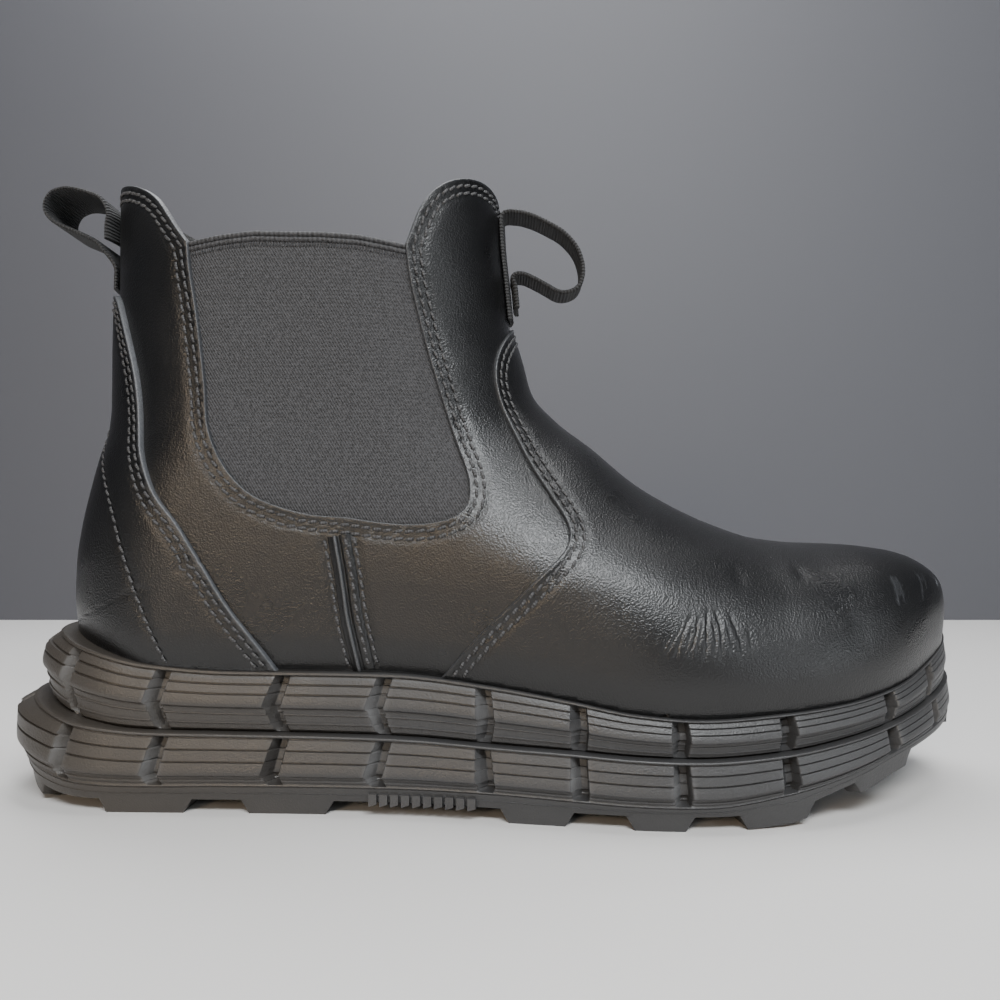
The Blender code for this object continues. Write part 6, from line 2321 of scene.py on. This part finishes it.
@dataclass(frozen=True)
class RubberFinish(Finish):
    """Matte moulded rubber: scuffed notch edges that also carry a painted highlight, and a painted warm
    reflection toward the heel.
    """

    colour: tuple = (0.033, 0.033, 0.034)
    # Brownish colour of the heel end: a painted warm reflection.
    warm_reflection: tuple = (0.038, 0.033, 0.028)
    # Pale colour of rubbed notch edges, also a painted highlight on their facets.
    worn_and_highlight: tuple = (0.135, 0.135, 0.136)

    def build(self, effects: Effects) -> bpy.types.Material:
        """Make the material.

        Args:
            effects: The shared groups.

        Returns:
            The material.
        """
        material, graph, shader = self.start()
        place, grain = self.grain(graph, effects, 1900.0)
        wear = graph.node("ShaderNodeAttribute", attribute_name="Wear")
        # Pale notch facets: rubbed edges together with a painted highlight.
        broken = graph.math("MULTIPLY", wear.outputs["Fac"], graph.ramp(grain.outputs["Tone"], 0.35, 0.6))
        # Painted warm reflection: the base colour turns brownish from x = -0.02 back to x = -0.11 and stays
        # so behind it, toward the heel.
        parts = graph.node("ShaderNodeSeparateXYZ")
        graph.link(place, parts.inputs[0])
        base = graph.mix(graph.ramp(parts.outputs["X"], -0.11, -0.02), self.warm_reflection, self.colour)
        graph.link(graph.mix(broken, base, self.worn_and_highlight), shader.inputs["Base Color"])
        graph.link(graph.ramp(grain.outputs["Tone"], 0.3, 0.7, 0.38, 0.52), shader.inputs["Roughness"])
        graph.bump(grain.outputs["Height"], shader, 0.5, 0.00022)
        return material


@dataclass(frozen=True)
class PlainFinish(Finish):
    """Even matte surface for the floor and backdrop."""

    colour: tuple = (0.62, 0.61, 0.60)
    roughness: float = 0.6

    def build(self) -> bpy.types.Material:
        """Make the material.

        Returns:
            The material.
        """
        material, graph, shader = self.start()
        tone = graph.node("ShaderNodeTexNoise", Scale=3.0)
        graph.link(graph.node("ShaderNodeTexCoord").outputs["Object"], tone.inputs["Vector"])
        dim = tuple(0.94 * c for c in self.colour)
        graph.link(graph.mix(tone.outputs["Fac"], dim, self.colour), shader.inputs["Base Color"])
        shader.inputs["Roughness"].default_value = self.roughness
        return material


class Finishes:
    """Every material of the boot and of the stage."""

    def __init__(self) -> None:
        """Mix the materials."""
        effects = Effects()
        self.leather = LeatherFinish("Black leather").build(effects)
        self.elastic = ClothFinish("Grey elastic", colour=(0.014, 0.014, 0.015), light=(0.043, 0.043, 0.046),
                                   across=760.0, along=560.0, slope=0.8, depth=0.0003).build(effects)
        self.binding = ClothFinish("Bound edge", colour=(0.010, 0.010, 0.011), light=(0.040, 0.040, 0.043),
                                   across=600.0, along=120.0, slope=0.3, roughness=0.7).build(effects)
        self.webbing = ClothFinish("Black webbing", colour=(0.008, 0.008, 0.008), light=(0.026, 0.026, 0.027),
                                   across=0.0, along=620.0, slope=1.0, depth=0.0004).build(effects)
        self.thread = ClothFinish("Black thread", colour=(0.018, 0.018, 0.019), light=(0.05, 0.05, 0.052),
                                  across=700.0, slope=0.0, roughness=0.6).build(effects)
        self.lining = ClothFinish("Lining cloth", (0.03, 0.03, 0.03), (0.06, 0.06, 0.06)).build(effects)
        self.insole = ClothFinish("Insole cloth", (0.06, 0.055, 0.05), (0.10, 0.09, 0.08)).build(effects)
        self.rubber = RubberFinish("Sole rubber").build(effects)
        self.floor = PlainFinish("Pale floor").build()
        self.wall = PlainFinish("Grey backdrop", (0.080, 0.081, 0.092)).build()


@dataclass
class Studio:
    """Floor, soft lights and the camera of the photograph."""

    eye: tuple = (0.0021, -0.267, 0.081)
    lens: float = 29.34
    rise: float = 0.026
    wall: float = 0.435
    floor_front: float = -1.30

    LIGHTS = (
        ("Front window", (0.14, -0.82, 0.90), (0.04, 0.0, 0.06), 0.80, 0.26, 20.0, (0.95, 0.98, 1.0)),
        ("Rear lamp", (-0.37, -0.85, 0.33), (-0.06, 0.0, 0.06), 0.20, 0.18, 2.8, (1.0, 0.78, 0.54)),
        ("Side light", (0.80, -0.62, 0.22), (0.0, 0.0, 0.10), 0.22, 0.36, 1.8, (0.93, 0.97, 1.0)),
        ("Top light", (0.05, 0.16, 1.10), (0.0, 0.10, 0.0), 0.8, 0.4, 10.0, (1.0, 1.0, 1.0)),
        ("Back light", (-0.10, 0.40, 0.80), (0.0, 0.02, 0.06), 0.7, 0.2, 3.0, (0.95, 0.97, 1.0)),
    )

    @staticmethod
    def sky() -> None:
        """Dim room that is darker below than above."""
        world = bpy.data.worlds.new("Soft room")
        bpy.context.scene.world = world
        world.use_nodes = True
        graph = Graph(world.node_tree)
        parts = graph.node("ShaderNodeSeparateXYZ")
        graph.link(graph.node("ShaderNodeTexCoord").outputs["Generated"], parts.inputs[0])
        back = world.node_tree.nodes["Background"]
        back.inputs["Color"].default_value = (0.84, 0.90, 1.0, 1.0)
        graph.link(graph.ramp(parts.outputs["Z"], -0.10, 0.85, 0.04, 0.26), back.inputs["Strength"])

    def build(self, finishes: Finishes) -> None:
        """Set up the stage, the lights and the camera.

        Args:
            finishes: Materials, of which the stage takes the floor and the backdrop.
        """
        wide = 2.4
        floor = MeshData()
        corners = ((-wide, self.floor_front), (wide, self.floor_front), (wide, self.wall), (-wide, self.wall))
        floor.faces.append(tuple(floor.add([(x, y, 0.0) for x, y in corners])))
        backdrop = MeshData()
        corners = ((-wide, 0.0), (wide, 0.0), (wide, 2.0), (-wide, 2.0))
        backdrop.faces.append(tuple(backdrop.add([(x, self.wall, z) for x, z in corners])))
        floor.build("floor", finishes.floor)
        backdrop.build("backdrop", finishes.wall)
        self.sky()
        for row in self.LIGHTS:
            self.light(*row)
        camera = bpy.data.cameras.new("Camera")
        camera.lens = self.lens
        camera.sensor_width = 36.0
        camera.shift_y = self.rise
        camera.clip_start = 0.01
        item = bpy.data.objects.new("Camera", camera)
        item.location = (self.eye[0] + SHIFT[0], self.eye[1] + SHIFT[1], self.eye[2])
        item.rotation_euler = (0.5 * math.pi, 0.0, 0.0)
        bpy.context.scene.collection.objects.link(item)
        bpy.context.scene.camera = item

    @staticmethod
    def light(name: str, place: tuple, aim: tuple, wide: float, high: float,
              power: float, colour: tuple) -> None:
        """Add one soft rectangular light.

        Args:
            name: Name of the light.
            place: Where it hangs.
            aim: Where it points.
            wide: Width in metres.
            high: Height in metres.
            power: Power in watts.
            colour: Its colour.
        """
        lamp = bpy.data.lights.new(name, "AREA")
        lamp.shape = "RECTANGLE"
        lamp.size = wide
        lamp.size_y = high
        lamp.energy = power
        lamp.color = colour
        item = bpy.data.objects.new(name, lamp)
        item.location = place
        item.rotation_euler = (Vector(aim) - Vector(place)).to_track_quat("-Z", "Y").to_euler()
        bpy.context.scene.collection.objects.link(item)


def main() -> None:
    """Build the boot and its stage in order."""
    logging.basicConfig(level=logging.INFO, format="%(message)s")
    finishes = Finishes()
    Studio().build(finishes)
    skin = Skin()
    log.info("skin ready")
    for part in (Sole(), Upper(skin), PullLoops(skin)):
        for piece, nodes in part.build(finishes):
            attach(piece, "root")
            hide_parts(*nodes)
            log.info("%s: %d faces", piece.name, len(piece.data.polygons))


if __name__ == "__main__":
    main()
